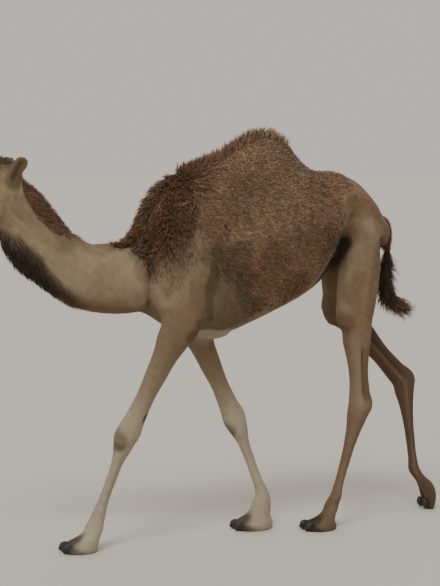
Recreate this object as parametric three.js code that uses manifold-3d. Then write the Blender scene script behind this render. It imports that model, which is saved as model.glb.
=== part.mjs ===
// Dromedary camel, life size, at a walk, as a still museum model.
//
// Millimetres, +Z up. The head points along -X, the animal's left side is -Y, and
// the floor is z = 0. Every piece of flesh is a loft: rounded sections set along a
// smooth curve. A leg is one loft from the hip or shoulder down to the sole, parted
// at its joints by thin cuts, so its outline runs on from piece to piece.

import * as THREE from 'three';
import { mergeVertices } from 'three/addons/utils/BufferGeometryUtils.js';
import Module from 'manifold-3d';

const wasm = await Module();
wasm.setup();

// ---- Driving dimensions -------------------------------------------------------

const GAP = 0.4; // clear space between pieces that meet

const TRUNK_SIDES = 22; // corners of a section
const NECK_SIDES = 16;
const HEAD_SIDES = 16;
const LEG_SIDES = 12;
const SMALL_SIDES = 8; // an ear, a nail or the tail

// Barrel of the body, breast to pin bones: x, back line, belly line, half width, and
// how much wider it is low down than along the back. The flanks tuck in, so behind
// the ribs it is the other way round.
const TRUNK = [
  [-404, 1390, 1080, 40, 0],
  [-340, 1453, 1060, 84, 0.05],
  [-270, 1583, 1038, 134, 0.12],
  [-180, 1676, 982, 176, 0.2],
  [-60, 1712, 932, 208, 0.24],
  [90, 1726, 932, 236, 0.25],
  [230, 1728, 982, 254, 0.24],
  [360, 1722, 1038, 264, 0.2],
  [480, 1712, 1094, 258, 0.11],
  [590, 1698, 1168, 234, -0.05],
  [690, 1688, 1306, 202, -0.2],
  [780, 1644, 1378, 180, -0.14],
  [860, 1558, 1362, 157, 0],
  [925, 1478, 1326, 120, 0],
  [960, 1440, 1338, 62, 0],
];

// Hump, front to back: x, crest, half width. Its foot lies inside the barrel.
const HUMP_FOOT = 1500;
const HUMP_EGG = 0.42;
const HUMP = [
  [-190, 1668, 40],
  [-110, 1716, 74],
  [0, 1753, 98],
  [100, 1794, 118],
  [190, 1850, 130],
  [260, 1878, 134],
  [350, 1880, 132],
  [425, 1842, 122],
  [490, 1764, 104],
  [550, 1716, 74],
  [600, 1688, 40],
];

// Neck, throat to breast: x, z, half depth, half width.
const NECK = [
  [-915, 1606, 112, 74],
  [-856, 1521, 141, 86],
  [-780, 1402, 156, 92],
  [-686, 1300, 148, 98],
  [-570, 1228, 152, 108],
  [-440, 1212, 164, 124],
  [-310, 1222, 172, 146],
  [-230, 1240, 170, 158],
];
const NECK_PARTING = 2.6; // where the neck is parted, in sections from the throat

// Head, upper lip to poll: x, profile, underside, half width, egg.
const HEAD = [
  [-1336, 1604, 1566, 16, 0.1],
  [-1324, 1630, 1556, 38, 0.1],
  [-1290, 1652, 1550, 51, 0.05],
  [-1244, 1668, 1546, 56, 0],
  [-1194, 1685, 1542, 60, 0],
  [-1142, 1708, 1536, 71, 0.05],
  [-1098, 1733, 1516, 86, 0.08],
  [-1048, 1752, 1490, 99, 0.1],
  [-990, 1759, 1472, 104, 0.16],
  [-930, 1752, 1466, 99, 0.14],
  [-880, 1733, 1482, 88, 0.1],
  [-836, 1700, 1526, 58, 0],
];
// Lower jaw, chin to cheek: x, upper edge, underside, half width. Its upper edge
// lies inside the upper lip, which cuts it along the mouth.
const JAW = [
  [-1318, 1590, 1532, 20],
  [-1302, 1600, 1512, 38],
  [-1260, 1604, 1501, 46],
  [-1190, 1604, 1494, 50],
  [-1120, 1604, 1486, 60],
  [-1050, 1604, 1480, 70],
];

// Swellings of the head on each side: middle, and the three half sizes.
const SWELLINGS = {
  brow: { at: [-1052, 62, 1716], half: [58, 32, 26] },
  cheek: { at: [-985, 60, 1564], half: [94, 42, 84] },
  nostril: { at: [-1284, 31, 1624], half: [36, 24, 24] },
  lip: { at: [-1308, 20, 1588], half: [31, 29, 36] },
};
const EYE = { at: [-1064, 75, 1682], radius: 21 };

// Ear, root to tip: x, y, z, half breadth, half thickness.
const EAR = [
  [-912, 74, 1616, 14, 13],
  [-903, 84, 1650, 24, 15],
  [-888, 93, 1684, 34, 14],
  [-873, 100, 1714, 34, 12],
  [-861, 105, 1740, 26, 9],
  [-856, 108, 1760, 11, 4],
];
const EAR_HOLLOW = { out: 11, forward: 5, share: 0.7 };

// Down one bone of a leg: share of the bone's length, half depth and half width.
const SHOULDER = [
  [0, 30, 20],
  [0.14, 84, 46],
  [0.36, 126, 64],
  [0.62, 134, 72],
  [0.84, 116, 74],
];
const FOREARM = [
  [0, 99, 70],
  [0.15, 82, 61],
  [0.29, 62, 52],
  [0.45, 53, 45],
  [0.64, 45, 41],
  [0.84, 50, 45],
];
const FORE_CANNON = [
  [0, 54, 50],
  [0.15, 44, 44],
  [0.3, 30, 32],
  [0.55, 25, 27],
  [0.8, 25, 28],
];
const THIGH = [
  [0, 30, 20],
  [0.12, 70, 52],
  [0.3, 104, 80],
  [0.52, 118, 88],
  [0.74, 112, 80],
  [0.88, 102, 70],
];
const GASKIN = [
  [0, 90, 61],
  [0.2, 79, 53],
  [0.34, 66, 46],
  [0.5, 54, 41],
  [0.66, 49, 38],
  [0.84, 54, 39],
];
const HIND_CANNON = [
  [0, 61, 42],
  [0.12, 54, 40],
  [0.27, 39, 33],
  [0.45, 29, 28],
  [0.7, 24, 26],
  [0.88, 24, 29],
];
// Half depth and half width at the fetlocks.
const FORE_FETLOCK = { deep: 31, wide: 34 };
const HIND_FETLOCK = { deep: 29, wide: 33 };

// A foot that stands flat, pastern to sole: height of the ring, share of the foot's
// length and of its half width that the ring covers, and how far its middle lies
// behind the middle of the sole, as a share of the length.
const FORE_RINGS = [
  [136, 0.42, 0.5, 0.35],
  [112, 0.5, 0.56, 0.31],
  [88, 0.52, 0.64, 0.28],
  [66, 0.6, 0.76, 0.2],
  [46, 0.82, 0.9, 0.09],
  [26, 1, 1, 0],
  [0, 0.94, 0.95, 0],
];
const HIND_RINGS = [
  [120, 0.4, 0.5, 0.38],
  [92, 0.42, 0.56, 0.34],
  [68, 0.44, 0.64, 0.26],
  [50, 0.58, 0.78, 0.16],
  [36, 0.82, 0.92, 0.04],
  [20, 1, 1, 0],
  [0, 0.94, 0.95, 0],
];
// The right hind foot, on its toes as it leaves the floor: x, z, half depth, half width.
const LEAVING_RINGS = [
  [1234, 152, 27, 40],
  [1266, 110, 37, 56],
  [1279, 66, 34, 64],
  [1281, 28, 26, 58],
  [1280, -10, 13, 44],
];

// Each leg: its bones' joints as x, y, z, then how its foot stands.
const FORE = {
  names: ['shoulder', 'forearm', 'cannon'],
  bones: [SHOULDER, FOREARM, FORE_CANNON],
  fetlock: FORE_FETLOCK,
  rings: FORE_RINGS,
};
const HIND = {
  names: ['thigh', 'gaskin', 'cannon'],
  bones: [THIGH, GASKIN, HIND_CANNON],
  fetlock: HIND_FETLOCK,
  rings: HIND_RINGS,
};
const LEGS = {
  fore_left: {
    ...FORE,
    joints: [[-190, -108, 1560], [-156, -160, 1012], [-405, -122, 506], [-526, -98, 170]],
    foot: { toe: -704, heel: -528, y: -92, half: 82 },
  },
  fore_right: {
    ...FORE,
    joints: [[-176, 108, 1560], [10, 156, 1006], [208, 78, 514], [329, 52, 173]],
    foot: { toe: 176, heel: 384, y: 42, half: 82 },
  },
  hind_left: {
    ...HIND,
    joints: [[776, -92, 1584], [717, -164, 990], [749, -150, 592], [641, -112, 152]],
    foot: { toe: 478, heel: 655, y: -92, half: 78 },
  },
  hind_right: {
    ...HIND,
    joints: [[780, 92, 1584], [806, 164, 1012], [1140, 146, 650], [1196, 130, 204]],
    foot: { y: 128 },
  },
};
const CLEFT = { half: 7, length: 64, height: 66 }; // between the two toes
const FLOOR = { long: 4000, broad: 2000, thick: 300 }; // cuts the soles level
const NAIL = { long: 27, half: 15, rise: 16, spread: 33, lift: 20, back: 10, tilt: -0.35 };
const LEAVING_NAIL = { x: 1250, z: 32, tilt: 1.3, spread: 27 };

// Breastbone callus that the camel kneels on: middle, and the three half sizes.
const CHEST_PAD = { at: [36, 0, 946], half: [112, 74, 36] };

// Tail, root to the tip of its tuft: x, y, z, half depth, half width.
const TAIL = [
  [900, 0, 1478, 26, 34],
  [944, 0, 1444, 24, 32],
  [968, 0, 1386, 20, 26],
  [966, -1, 1320, 16, 20],
  [960, -3, 1250, 14, 17],
  [956, -5, 1190, 17, 18],
  [957, -6, 1140, 22, 21],
  [970, -6, 1096, 32, 28],
  [1002, -6, 1056, 33, 29],
  [1042, -6, 1022, 24, 23],
  [1078, -6, 1000, 10, 12],
];
const TUFT_START = 6; // the section of the tail where its tuft begins

// ---- Finishes -----------------------------------------------------------------

const finish = (color, roughness) => () =>
  new THREE.MeshStandardMaterial({ color, roughness, metalness: 0 });

const coat = finish('#7a654b', 0.92);
const wool = finish('#5f4a34', 0.95);
const darkHair = finish('#3a2c1f', 0.9);
const paleCoat = finish('#8a7d66', 0.9);
const callus = finish('#6a6150', 0.85);
const eyeSurface = finish('#1c1512', 0.12);
const nailHorn = finish('#2b2620', 0.5);

// ---- Solids -------------------------------------------------------------------

const vector = (numbers) => new THREE.Vector3(...numbers);
const ALONG_X = [1, 0, 0];
const DOWN = [0, 0, -1];
const SIDES = { left: -1, right: 1 };

/** Makes a closed geometry into a solid that can be joined and cut. */
function toSolid(geometry) {
  const shell = geometry.clone();
  shell.deleteAttribute('normal');
  shell.deleteAttribute('uv');
  const merged = mergeVertices(shell);
  return new wasm.Manifold(
    new wasm.Mesh({
      numProp: 3,
      vertProperties: new Float32Array(merged.attributes.position.array),
      triVerts: new Uint32Array(merged.index.array),
    }),
  );
}

/** Makes a solid into a named mesh with its finish. */
function piece(name, body, material) {
  const mesh = body.getMesh();
  const geometry = new THREE.BufferGeometry();
  geometry.setAttribute('position', new THREE.BufferAttribute(mesh.vertProperties, 3));
  geometry.setIndex(new THREE.BufferAttribute(mesh.triVerts, 1));
  geometry.computeVertexNormals();
  const object = new THREE.Mesh(geometry, material);
  object.name = name;
  return object;
}

const joined = (solids) => solids.reduce((whole, next) => whole.add(next));

/** What is left of a body cut by others, without the slivers that shallow cuts leave. */
function cutBy(body, cutters) {
  const rest = cutters.reduce((left, cutter) => left.subtract(cutter), body);
  return rest.decompose().reduce((most, next) => (next.volume() > most.volume() ? next : most));
}
const mirrored = ([x, y, z], side) => [x, y * side, z];

/**
 * Rounded sections set along a smooth curve. A section is { at, deep, wide }, with
 * two more that may be left out: egg, how much wider it is low down, and ahead, the
 * direction that it stands square to, which is otherwise the curve's own.
 */
class Loft {
  constructor(sections) {
    this.last = sections.length - 1;
    this.path = new THREE.CatmullRomCurve3(sections.map(({ at }) => vector(at)));
    this.sizes = new THREE.CatmullRomCurve3(
      sections.map(({ deep, wide, egg = 0 }) => new THREE.Vector3(deep, wide, egg)),
    );
    this.facings = sections[0].ahead
      ? new THREE.CatmullRomCurve3(sections.map(({ ahead }) => vector(ahead)))
      : null;
  }

  /** Middle and directions of the section at a share of the curve. */
  frame(share) {
    const ahead = this.facings ? this.facings.getPoint(share) : this.path.getTangent(share);
    ahead.normalize();
    const side = new THREE.Vector3(0, 1, 0).addScaledVector(ahead, -ahead.y).normalize();
    const upright = new THREE.Vector3().crossVectors(ahead, side);
    return { middle: this.path.getPoint(share), ahead, side, upright };
  }

  /** The closed solid between two sections, grown all over or trimmed at its ends. */
  solid({ sides, rings, from = 0, to = this.last, grow = 0 }) {
    const tube = new THREE.CylinderGeometry(1, 1, 1, sides, rings);
    const corners = tube.attributes.position;
    const past = grow > 0 ? grow : -GAP / 2;
    for (let i = 0; i < corners.count; i += 1) {
      const [across, along, up] = [corners.getX(i), corners.getY(i) + 0.5, corners.getZ(i)];
      const share = THREE.MathUtils.lerp(from, to, along) / this.last;
      const { middle, ahead, side, upright } = this.frame(share);
      const size = this.sizes.getPoint(share);
      middle.addScaledVector(side, -across * (size.y + grow) * (1 - size.z * up));
      middle.addScaledVector(upright, up * (size.x + grow));
      if (along < Number.EPSILON) middle.addScaledVector(ahead, -past);
      if (along > 1 - Number.EPSILON) middle.addScaledVector(ahead, past);
      corners.setXYZ(i, middle.x, middle.y, middle.z);
    }
    return toSolid(tube);
  }
}

/** Sections square to X, from rows of x, top, bottom, half width and egg. */
const uprightSections = (rows) =>
  rows.map(([x, top, bottom, wide, egg]) => ({
    at: [x, 0, (top + bottom) / 2],
    deep: (top - bottom) / 2,
    wide,
    egg,
    ahead: ALONG_X,
  }));

/** Sections square to their own curve, from rows of x, y, z, half depth and half width. */
const curveSections = (rows) => rows.map(([x, y, z, deep, wide]) => ({ at: [x, y, z], deep, wide }));

/** An ellipsoid about a middle. */
function ellipsoid({ at, half }, grow = 0, across = 8, rings = 5) {
  const ball = new THREE.SphereGeometry(1, across, rings);
  ball.scale(...half.map((size) => size + grow));
  ball.translate(...at);
  return toSolid(ball);
}

/** Everything below the level that the soles rest on. */
function floorSolid() {
  const { long, broad, thick } = FLOOR;
  const block = new THREE.BoxGeometry(long, broad, thick);
  block.translate(0, 0, -thick / 2);
  return toSolid(block);
}

// ---- Trunk, hump, neck and tail -------------------------------------------------

function trunkSolid(grow) {
  return new Loft(uprightSections(TRUNK)).solid({ sides: TRUNK_SIDES, rings: 17, grow });
}

function humpSolid() {
  const rows = HUMP.map(([x, crest, wide]) => [x, crest, HUMP_FOOT, wide, HUMP_EGG]);
  return new Loft(uprightSections(rows)).solid({ sides: NECK_SIDES, rings: 14 });
}

function neckSolid(from, to, grow = 0) {
  const loft = new Loft(curveSections(NECK.map(([x, z, deep, wide]) => [x, 0, z, deep, wide])));
  return loft.solid({ sides: NECK_SIDES, rings: Math.round((to - from) * 1.8), from, to, grow });
}

const chestPad = (grow) => ellipsoid(CHEST_PAD, grow, 14, 6);

function tailSolid(from, to) {
  return new Loft(curveSections(TAIL)).solid({ sides: SMALL_SIDES, rings: 7, from, to });
}

// ---- Head ---------------------------------------------------------------------

/** The skull in its skin, with brows, cheeks, nostrils and upper lip. */
function skullSolid(grow) {
  const swellings = Object.values(SIDES).flatMap((side) =>
    Object.values(SWELLINGS).map(({ at, half }) =>
      ellipsoid({ at: mirrored(at, side), half }, grow),
    ),
  );
  const skull = new Loft(uprightSections(HEAD)).solid({ sides: HEAD_SIDES, rings: 13, grow });
  return joined([skull, ...swellings]);
}

function jawSolid(grow) {
  return new Loft(uprightSections(JAW)).solid({ sides: LEG_SIDES, rings: 8, grow });
}

function eyeSolid(side, grow) {
  const { at, radius } = EYE;
  return ellipsoid({ at: mirrored(at, side), half: [radius, radius, radius] }, grow, 10, 7);
}

/** One ear: a broad leaf with a hollow that faces outwards. */
function earSolid(side) {
  const { out, forward, share } = EAR_HOLLOW;
  const leaf = EAR.map(([x, y, z, deep, wide]) => [x, y * side, z, deep, wide]);
  const scoop = EAR.slice(1).map(([x, y, z, deep, wide]) => [
    x - forward,
    (y + out) * side,
    z,
    deep * share,
    wide * share,
  ]);
  const [outer, inner] = [leaf, scoop].map((rows) => new Loft(curveSections(rows)));
  return outer
    .solid({ sides: SMALL_SIDES, rings: 6 })
    .subtract(inner.solid({ sides: SMALL_SIDES, rings: 4 }));
}

// ---- Legs ---------------------------------------------------------------------

const boneRings = (bone) => Math.round(bone.length * 1.4);
const FOOT_STEPS = 8; // steps of a foot's surface, pastern to sole
const SHOULDER_SPAN = { sides: LEG_SIDES, rings: boneRings(SHOULDER), from: 0, to: SHOULDER.length };

/** Sections of a leg's bones, each turned from one bone's direction to the next's. */
function boneSections({ joints, bones, fetlock }) {
  const points = joints.map(vector);
  const directions = bones.map((_, i) => points[i + 1].clone().sub(points[i]).normalize());
  const sections = bones.flatMap((bone, i) =>
    bone.map(([share, deep, wide]) => {
      const before = directions[share === 0 && i > 0 ? i - 1 : i];
      const ahead = before.clone().add(directions[i]).normalize();
      return { at: points[i].clone().lerp(points[i + 1], share), deep, wide, ahead };
    }),
  );
  return [...sections, { at: points.at(-1), ...fetlock, ahead: directions.at(-1) }];
}

/** Sections of a foot that stands flat, each level with the floor. */
function standingSections({ toe, heel, y, half }, rings) {
  return rings.map(([z, long, broad, back]) => ({
    at: [(toe + heel) / 2 + back * (heel - toe), y, z],
    deep: ((heel - toe) / 2) * long,
    wide: half * broad,
    ahead: DOWN,
  }));
}

/** Sections of the foot that is up on its toes, each square to its line. */
function leavingSections({ y }) {
  return LEAVING_RINGS.map(([x, z, deep, wide], i) => {
    const [nextX, nextZ] = LEAVING_RINGS[Math.min(i + 1, LEAVING_RINGS.length - 1)];
    const ahead = i + 1 < LEAVING_RINGS.length ? [nextX - x, 0, nextZ - z] : DOWN;
    return { at: [x, y, z], deep, wide, ahead: vector(ahead).normalize() };
  });
}

/** The cleft that parts a foot's toes in front, from the floor up. */
function toeCleft({ toe, y }) {
  const { half, length, height } = CLEFT;
  const outline = new THREE.Shape();
  outline.moveTo(-half, -half);
  outline.lineTo(length, 0);
  outline.lineTo(-half, half);
  outline.closePath();
  const wedge = new THREE.ExtrudeGeometry(outline, { depth: height, bevelEnabled: false });
  wedge.translate(toe, y, -GAP);
  return toSolid(wedge);
}

/** A foot's nail: a small rounded wedge on the upper front of a toe. */
function nailSolid({ foot }, side, grow) {
  const standing = foot.heel !== undefined;
  const spread = side * (standing ? NAIL.spread : LEAVING_NAIL.spread);
  const horn = new THREE.SphereGeometry(1, SMALL_SIDES, 4);
  horn.scale(NAIL.long + grow, NAIL.half + grow, NAIL.rise + grow);
  horn.rotateY(standing ? NAIL.tilt : LEAVING_NAIL.tilt);
  horn.translate(
    standing ? foot.toe + NAIL.back : LEAVING_NAIL.x,
    foot.y + spread,
    standing ? NAIL.lift : LEAVING_NAIL.z,
  );
  return toSolid(horn);
}

// ---- The whole animal -----------------------------------------------------------

const camel = new THREE.Group();
camel.name = 'dromedary';
const grownTrunk = trunkSolid(GAP);
const grownSkull = skullSolid(GAP);
const floor = floorSolid();

function addBody() {
  camel.add(piece('trunk', trunkSolid(0).subtract(chestPad(GAP)), coat()));
  camel.add(piece('hump', cutBy(humpSolid(), [grownTrunk]), wool()));
  camel.add(piece('chest_pad', chestPad(0), callus()));
  const upper = cutBy(neckSolid(0, NECK_PARTING), [grownSkull, jawSolid(GAP)]);
  camel.add(piece('neck_upper', upper, coat()));
  const lower = neckSolid(NECK_PARTING, NECK.length - 1);
  const shoulders = [LEGS.fore_left, LEGS.fore_right].map((leg) =>
    new Loft(boneSections(leg)).solid({ ...SHOULDER_SPAN, grow: GAP }),
  );
  camel.add(piece('neck_lower', cutBy(lower, [grownTrunk, ...shoulders]), coat()));
  camel.add(piece('tail', cutBy(tailSolid(0, TUFT_START), [grownTrunk]), coat()));
  camel.add(piece('tail_tuft', tailSolid(TUFT_START, TAIL.length - 1), darkHair()));
}

function addHead() {
  const sockets = Object.values(SIDES).map((side) => eyeSolid(side, GAP));
  camel.add(piece('head', cutBy(skullSolid(0), sockets), coat()));
  camel.add(piece('lower_jaw', cutBy(jawSolid(0), [grownSkull]), coat()));
  const grownNeck = neckSolid(0, NECK_PARTING, GAP);
  Object.entries(SIDES).forEach(([name, side]) => {
    camel.add(piece(`eye_${name}`, eyeSolid(side, 0), eyeSurface()));
    const ear = cutBy(earSolid(side), [grownSkull, grownNeck]);
    camel.add(piece(`ear_${name}`, ear, coat()));
  });
}

/** One leg: its three lengths, its foot and its two nails. */
function addLeg(legName, leg) {
  const standing = leg.foot.heel !== undefined;
  const footSections = standing ? standingSections(leg.foot, leg.rings) : leavingSections(leg.foot);
  const loft = new Loft([...boneSections(leg), ...footSections]);
  let from = 0;
  leg.bones.forEach((bone, i) => {
    const to = from + bone.length;
    const length = loft.solid({ sides: LEG_SIDES, rings: boneRings(bone), from, to });
    const body = i < 2 ? cutBy(length, [grownTrunk]) : length;
    camel.add(piece(`${legName}_${leg.names[i]}`, body, i === 2 ? paleCoat() : coat()));
    from = to;
  });

  const nails = Object.values(SIDES).map((side) => nailSolid(leg, side, GAP));
  const clefts = standing ? [toeCleft(leg.foot)] : [];
  const foot = loft.solid({ sides: LEG_SIDES, rings: FOOT_STEPS, from });
  camel.add(piece(`${legName}_foot`, cutBy(foot, [floor, ...clefts, ...nails]), paleCoat()));
  Object.entries(SIDES).forEach(([name, side]) => {
    const nail = nailSolid(leg, side, 0).subtract(floor);
    camel.add(piece(`${legName}_nail_${name}`, nail, nailHorn()));
  });
}

addBody();
addHead();
Object.entries(LEGS).forEach(([name, leg]) => addLeg(name, leg));

export default camel;
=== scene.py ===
"""A life-size dromedary camel at a walk: hide, fleece, manes, eyes and nails.

The hide is one skin. It is gathered from lofts, each a rounded section carried along
a path, and is then modelled with folds, swellings and creases. Over it lie locks of
hair, each a small closed blade that follows the lie of the coat.
"""

import logging
import math
from dataclasses import dataclass
from enum import Enum
from typing import Callable, Iterable, Sequence

import bmesh
import bpy
import numpy as np
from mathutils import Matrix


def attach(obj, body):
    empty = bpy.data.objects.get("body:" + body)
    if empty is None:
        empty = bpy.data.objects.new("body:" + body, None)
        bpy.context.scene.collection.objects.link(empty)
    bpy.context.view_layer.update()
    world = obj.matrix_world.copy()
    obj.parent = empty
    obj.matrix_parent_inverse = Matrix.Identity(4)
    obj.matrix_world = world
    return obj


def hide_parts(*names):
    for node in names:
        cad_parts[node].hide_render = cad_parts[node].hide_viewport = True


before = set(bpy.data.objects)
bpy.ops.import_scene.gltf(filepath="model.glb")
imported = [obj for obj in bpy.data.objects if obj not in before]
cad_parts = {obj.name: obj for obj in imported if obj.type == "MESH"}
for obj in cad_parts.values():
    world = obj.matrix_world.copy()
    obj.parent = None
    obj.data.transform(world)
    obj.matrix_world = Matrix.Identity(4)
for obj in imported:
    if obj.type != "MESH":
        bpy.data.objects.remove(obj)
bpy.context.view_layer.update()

LOG = logging.getLogger("dromedary")
MM = 0.001
Array = np.ndarray
Rows = Sequence[Sequence[float]]
Mask = Callable[[Array], Array]
SIDES = ((-1, "left"), (1, "right"))


# ---- Small mathematics ----


def unit(vectors: Array) -> Array:
    """Scale each row of a table of vectors to length one."""
    return vectors / np.maximum(np.linalg.norm(vectors, axis=-1, keepdims=True), 1e-12)


def smooth(edge0: float, edge1: float, value: Array) -> Array:
    """Rise smoothly from 0 at edge0 to 1 at edge1: 3t^2 - 2t^3 of the clamped share t."""
    t = np.clip((value - edge0) / (edge1 - edge0), 0.0, 1.0)
    return t * t * (3.0 - 2.0 * t)


def ripple(points: Array, wave: float, seed: int) -> Array:
    """A smooth, wandering value from about -1 to 1.

    It is the mean of eight sine waves that run in random directions, with lengths
    near the one given.

    Args:
        points: Places, in metres.
        wave: Length of the waves, in metres.
        seed: Chooses the directions and phases.

    Returns:
        One value for each place.
    """
    rng = np.random.default_rng(seed)
    ways = unit(rng.normal(size=(8, 3))) * (2 * math.pi / wave)
    ways *= rng.uniform(0.6, 1.6, (8, 1))
    return np.sin(points @ ways.T + rng.uniform(0, 2 * math.pi, 8)).mean(axis=1) * 2.2


def from_segment(points: Array, start: Array, end: Array) -> tuple[Array, Array]:
    """Distance from a straight segment, and the share of it that lies nearest.

    Args:
        points: Places to measure from.
        start: The segment's first end.
        end: Its other end.

    Returns:
        For each place its distance, and the nearest point as a share of the segment.
    """
    along = end - start
    share = np.clip((points - start) @ along / max(float(along @ along), 1e-12), 0.0, 1.0)
    return np.linalg.norm(points - start - share[:, None] * along, axis=1), share


def spline(rows: Array, shares: Array) -> Array:
    """Centripetal Catmull-Rom curve through the rows of a table.

    Between two rows the curve is the cubic whose slopes at the ends come from the
    rows on either side, each span weighed by the square root of its length.

    Args:
        rows: One row for each knot; the first three columns are its place.
        shares: Places on the curve, counted in spans from the first row.

    Returns:
        One row for each share.
    """
    last = len(rows) - 1
    knots = np.vstack([2 * rows[0] - rows[1], rows, 2 * rows[-1] - rows[-2]])
    i = np.clip(np.floor(shares).astype(int), 0, last - 1)
    t = (shares - i)[:, None]
    p0, p1, p2, p3 = (knots[i + k] for k in range(4))
    spans = [
        np.sqrt(np.maximum(np.linalg.norm((b - a)[:, :3], axis=1), 1e-6))[:, None]
        for a, b in ((p0, p1), (p1, p2), (p2, p3))
    ]
    d0, d1, d2 = spans
    m1 = ((p1 - p0) / d0 - (p2 - p0) / (d0 + d1) + (p2 - p1) / d1) * d1
    m2 = ((p2 - p1) / d1 - (p3 - p1) / (d1 + d2) + (p3 - p2) / d2) * d1
    t2, t3 = t * t, t * t * t
    return (2 * t3 - 3 * t2 + 1) * p1 + (t3 - 2 * t2 + t) * m1 + (3 * t2 - 2 * t3) * p2 + (t3 - t2) * m2


# ---- Surfaces and meshes ----


@dataclass(frozen=True)
class Surface:
    """A closed surface as places and faces."""

    points: Array
    faces: list[tuple[int, ...]]


def tube_faces(along: int, around: int) -> list[tuple[int, ...]]:
    """Quads of a tube of rings, and the two fans that close it.

    The rings come first, then the middle of the first end and that of the last.

    Args:
        along: Number of rings.
        around: Points on each ring.

    Returns:
        The points of each face, by number.
    """
    ring = np.arange(along - 1)[:, None] * around
    k = np.arange(around)[None, :]
    nxt = (k + 1) % around
    quads = np.stack([ring + k, ring + nxt, ring + around + nxt, ring + around + k], axis=-1)
    faces = [tuple(q) for q in quads.reshape(-1, 4).tolist()]
    first, last = along * around, along * around + 1
    tail = (along - 1) * around
    faces += [(first, (j + 1) % around, j) for j in range(around)]
    faces += [(last, tail + j, tail + (j + 1) % around) for j in range(around)]
    return faces


def loft(rows: Array, around: int, along: int, squared: bool) -> Surface:
    """Rounded sections carried along a smooth path.

    At share v of the path and angle u round it, the point is the path's middle, less
    the side direction times width times (1 - egg cos u) sin u, plus the upright
    direction times depth times cos u.

    Args:
        rows: x, y, z, half depth, half width, egg, and the facing as x, y, z.
        around: Points round a section.
        along: Sections along the path.
        squared: Whether sections stand square to the rows' facings, not to the path.

    Returns:
        The closed surface.
    """
    values = spline(rows, np.linspace(0, len(rows) - 1, along))
    middle = values[:, :3]
    ahead = unit(values[:, 6:9] if squared else np.gradient(middle, axis=0))
    side = unit(np.array([0.0, 1.0, 0.0]) - ahead * ahead[:, 1:2])
    upright = np.cross(ahead, side)
    u = np.linspace(0, 2 * math.pi, around, endpoint=False)[None, :, None]
    deep, wide, egg = (values[:, k, None, None] for k in (3, 4, 5))
    points = (
        middle[:, None]
        - side[:, None] * wide * (1 - egg * np.cos(u)) * np.sin(u)
        + upright[:, None] * deep * np.cos(u)
    )
    points = np.vstack([points.reshape(-1, 3), middle[:1], middle[-1:]])
    return Surface(points, tube_faces(along, around))


def ball(at: Sequence[float], half: Sequence[float], around: int = 24, along: int = 14) -> Surface:
    """An ellipsoid: its middle plus each half size times the unit sphere's point.

    Args:
        at: Its middle.
        half: Its three half sizes.
        around: Points round a ring.
        along: Rings from top to bottom.

    Returns:
        The closed surface.
    """
    v = np.linspace(0, math.pi, along + 2)[1:-1, None]
    u = np.linspace(0, 2 * math.pi, around, endpoint=False)[None, :]
    sphere = np.stack([np.sin(v) * np.cos(u), np.sin(v) * np.sin(u), np.cos(v) + 0 * u], axis=-1)
    sphere = np.vstack([sphere.reshape(-1, 3), [[0, 0, 1], [0, 0, -1]]])
    return Surface(np.asarray(at) + np.asarray(half) * sphere, tube_faces(along, around))


def mirrored(surface: Surface) -> Surface:
    """The same surface on the animal's other side, with its faces turned right again."""
    return Surface(surface.points * [1, -1, 1], [face[::-1] for face in surface.faces])


def placed(name: str, data: bpy.types.ID) -> bpy.types.Object:
    """Make an object of a mesh, lamp or camera, and link it to the scene.

    Args:
        name: The object's name.
        data: What it holds.

    Returns:
        The new object.
    """
    thing = bpy.data.objects.new(name, data)
    bpy.context.scene.collection.objects.link(thing)
    return thing


def mesh_object(name: str, points: Array, faces: Iterable[Sequence[int]]) -> bpy.types.Object:
    """Make a mesh object at the origin from places and faces.

    Args:
        name: Name of the object and of its mesh.
        points: Places, in metres.
        faces: The points of each face, by number.

    Returns:
        The new object.
    """
    mesh = bpy.data.meshes.new(name)
    mesh.from_pydata(points.tolist(), [], [tuple(face) for face in faces])
    mesh.update()
    return placed(name, mesh)


def triangle_object(name: str, points: Array, triangles: Array) -> bpy.types.Object:
    """Make a mesh object at the origin from large tables of places and triangles.

    Args:
        name: Name of the object and of its mesh.
        points: Places, in metres.
        triangles: The three points of each triangle, by number.

    Returns:
        The new object.
    """
    mesh = bpy.data.meshes.new(name)
    mesh.vertices.add(len(points))
    mesh.vertices.foreach_set("co", points.astype(np.float32).ravel())
    mesh.loops.add(triangles.size)
    mesh.loops.foreach_set("vertex_index", triangles.astype(np.int32).ravel())
    mesh.polygons.add(len(triangles))
    mesh.polygons.foreach_set("loop_start", np.arange(0, triangles.size, 3, dtype=np.int32))
    mesh.update(calc_edges=True)
    mesh.validate()
    return placed(name, mesh)


def joined(surfaces: Sequence[Surface]) -> Surface:
    """Put several surfaces into one table of places and faces.

    Args:
        surfaces: The surfaces, each closed by itself.

    Returns:
        One surface with all their places and faces.
    """
    points, faces, start = [], [], 0
    for surface in surfaces:
        points.append(surface.points)
        faces += [tuple(i + start for i in face) for face in surface.faces]
        start += len(surface.points)
    return Surface(np.vstack(points), faces)


def read_points(mesh: bpy.types.Mesh) -> Array:
    """The places of a mesh's vertices."""
    flat = np.empty(len(mesh.vertices) * 3, dtype=np.float32)
    mesh.vertices.foreach_get("co", flat)
    return flat.reshape(-1, 3).astype(float)


def read_normals(mesh: bpy.types.Mesh) -> Array:
    """The outward directions at a mesh's vertices."""
    flat = np.empty(len(mesh.vertices) * 3, dtype=np.float32)
    mesh.vertex_normals.foreach_get("vector", flat)
    return flat.reshape(-1, 3).astype(float)


def write_points(mesh: bpy.types.Mesh, points: Array) -> None:
    """Move a mesh's vertices to new places."""
    mesh.vertices.foreach_set("co", points.astype(np.float32).ravel())
    mesh.update()


# ---- Finishes ----


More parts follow.
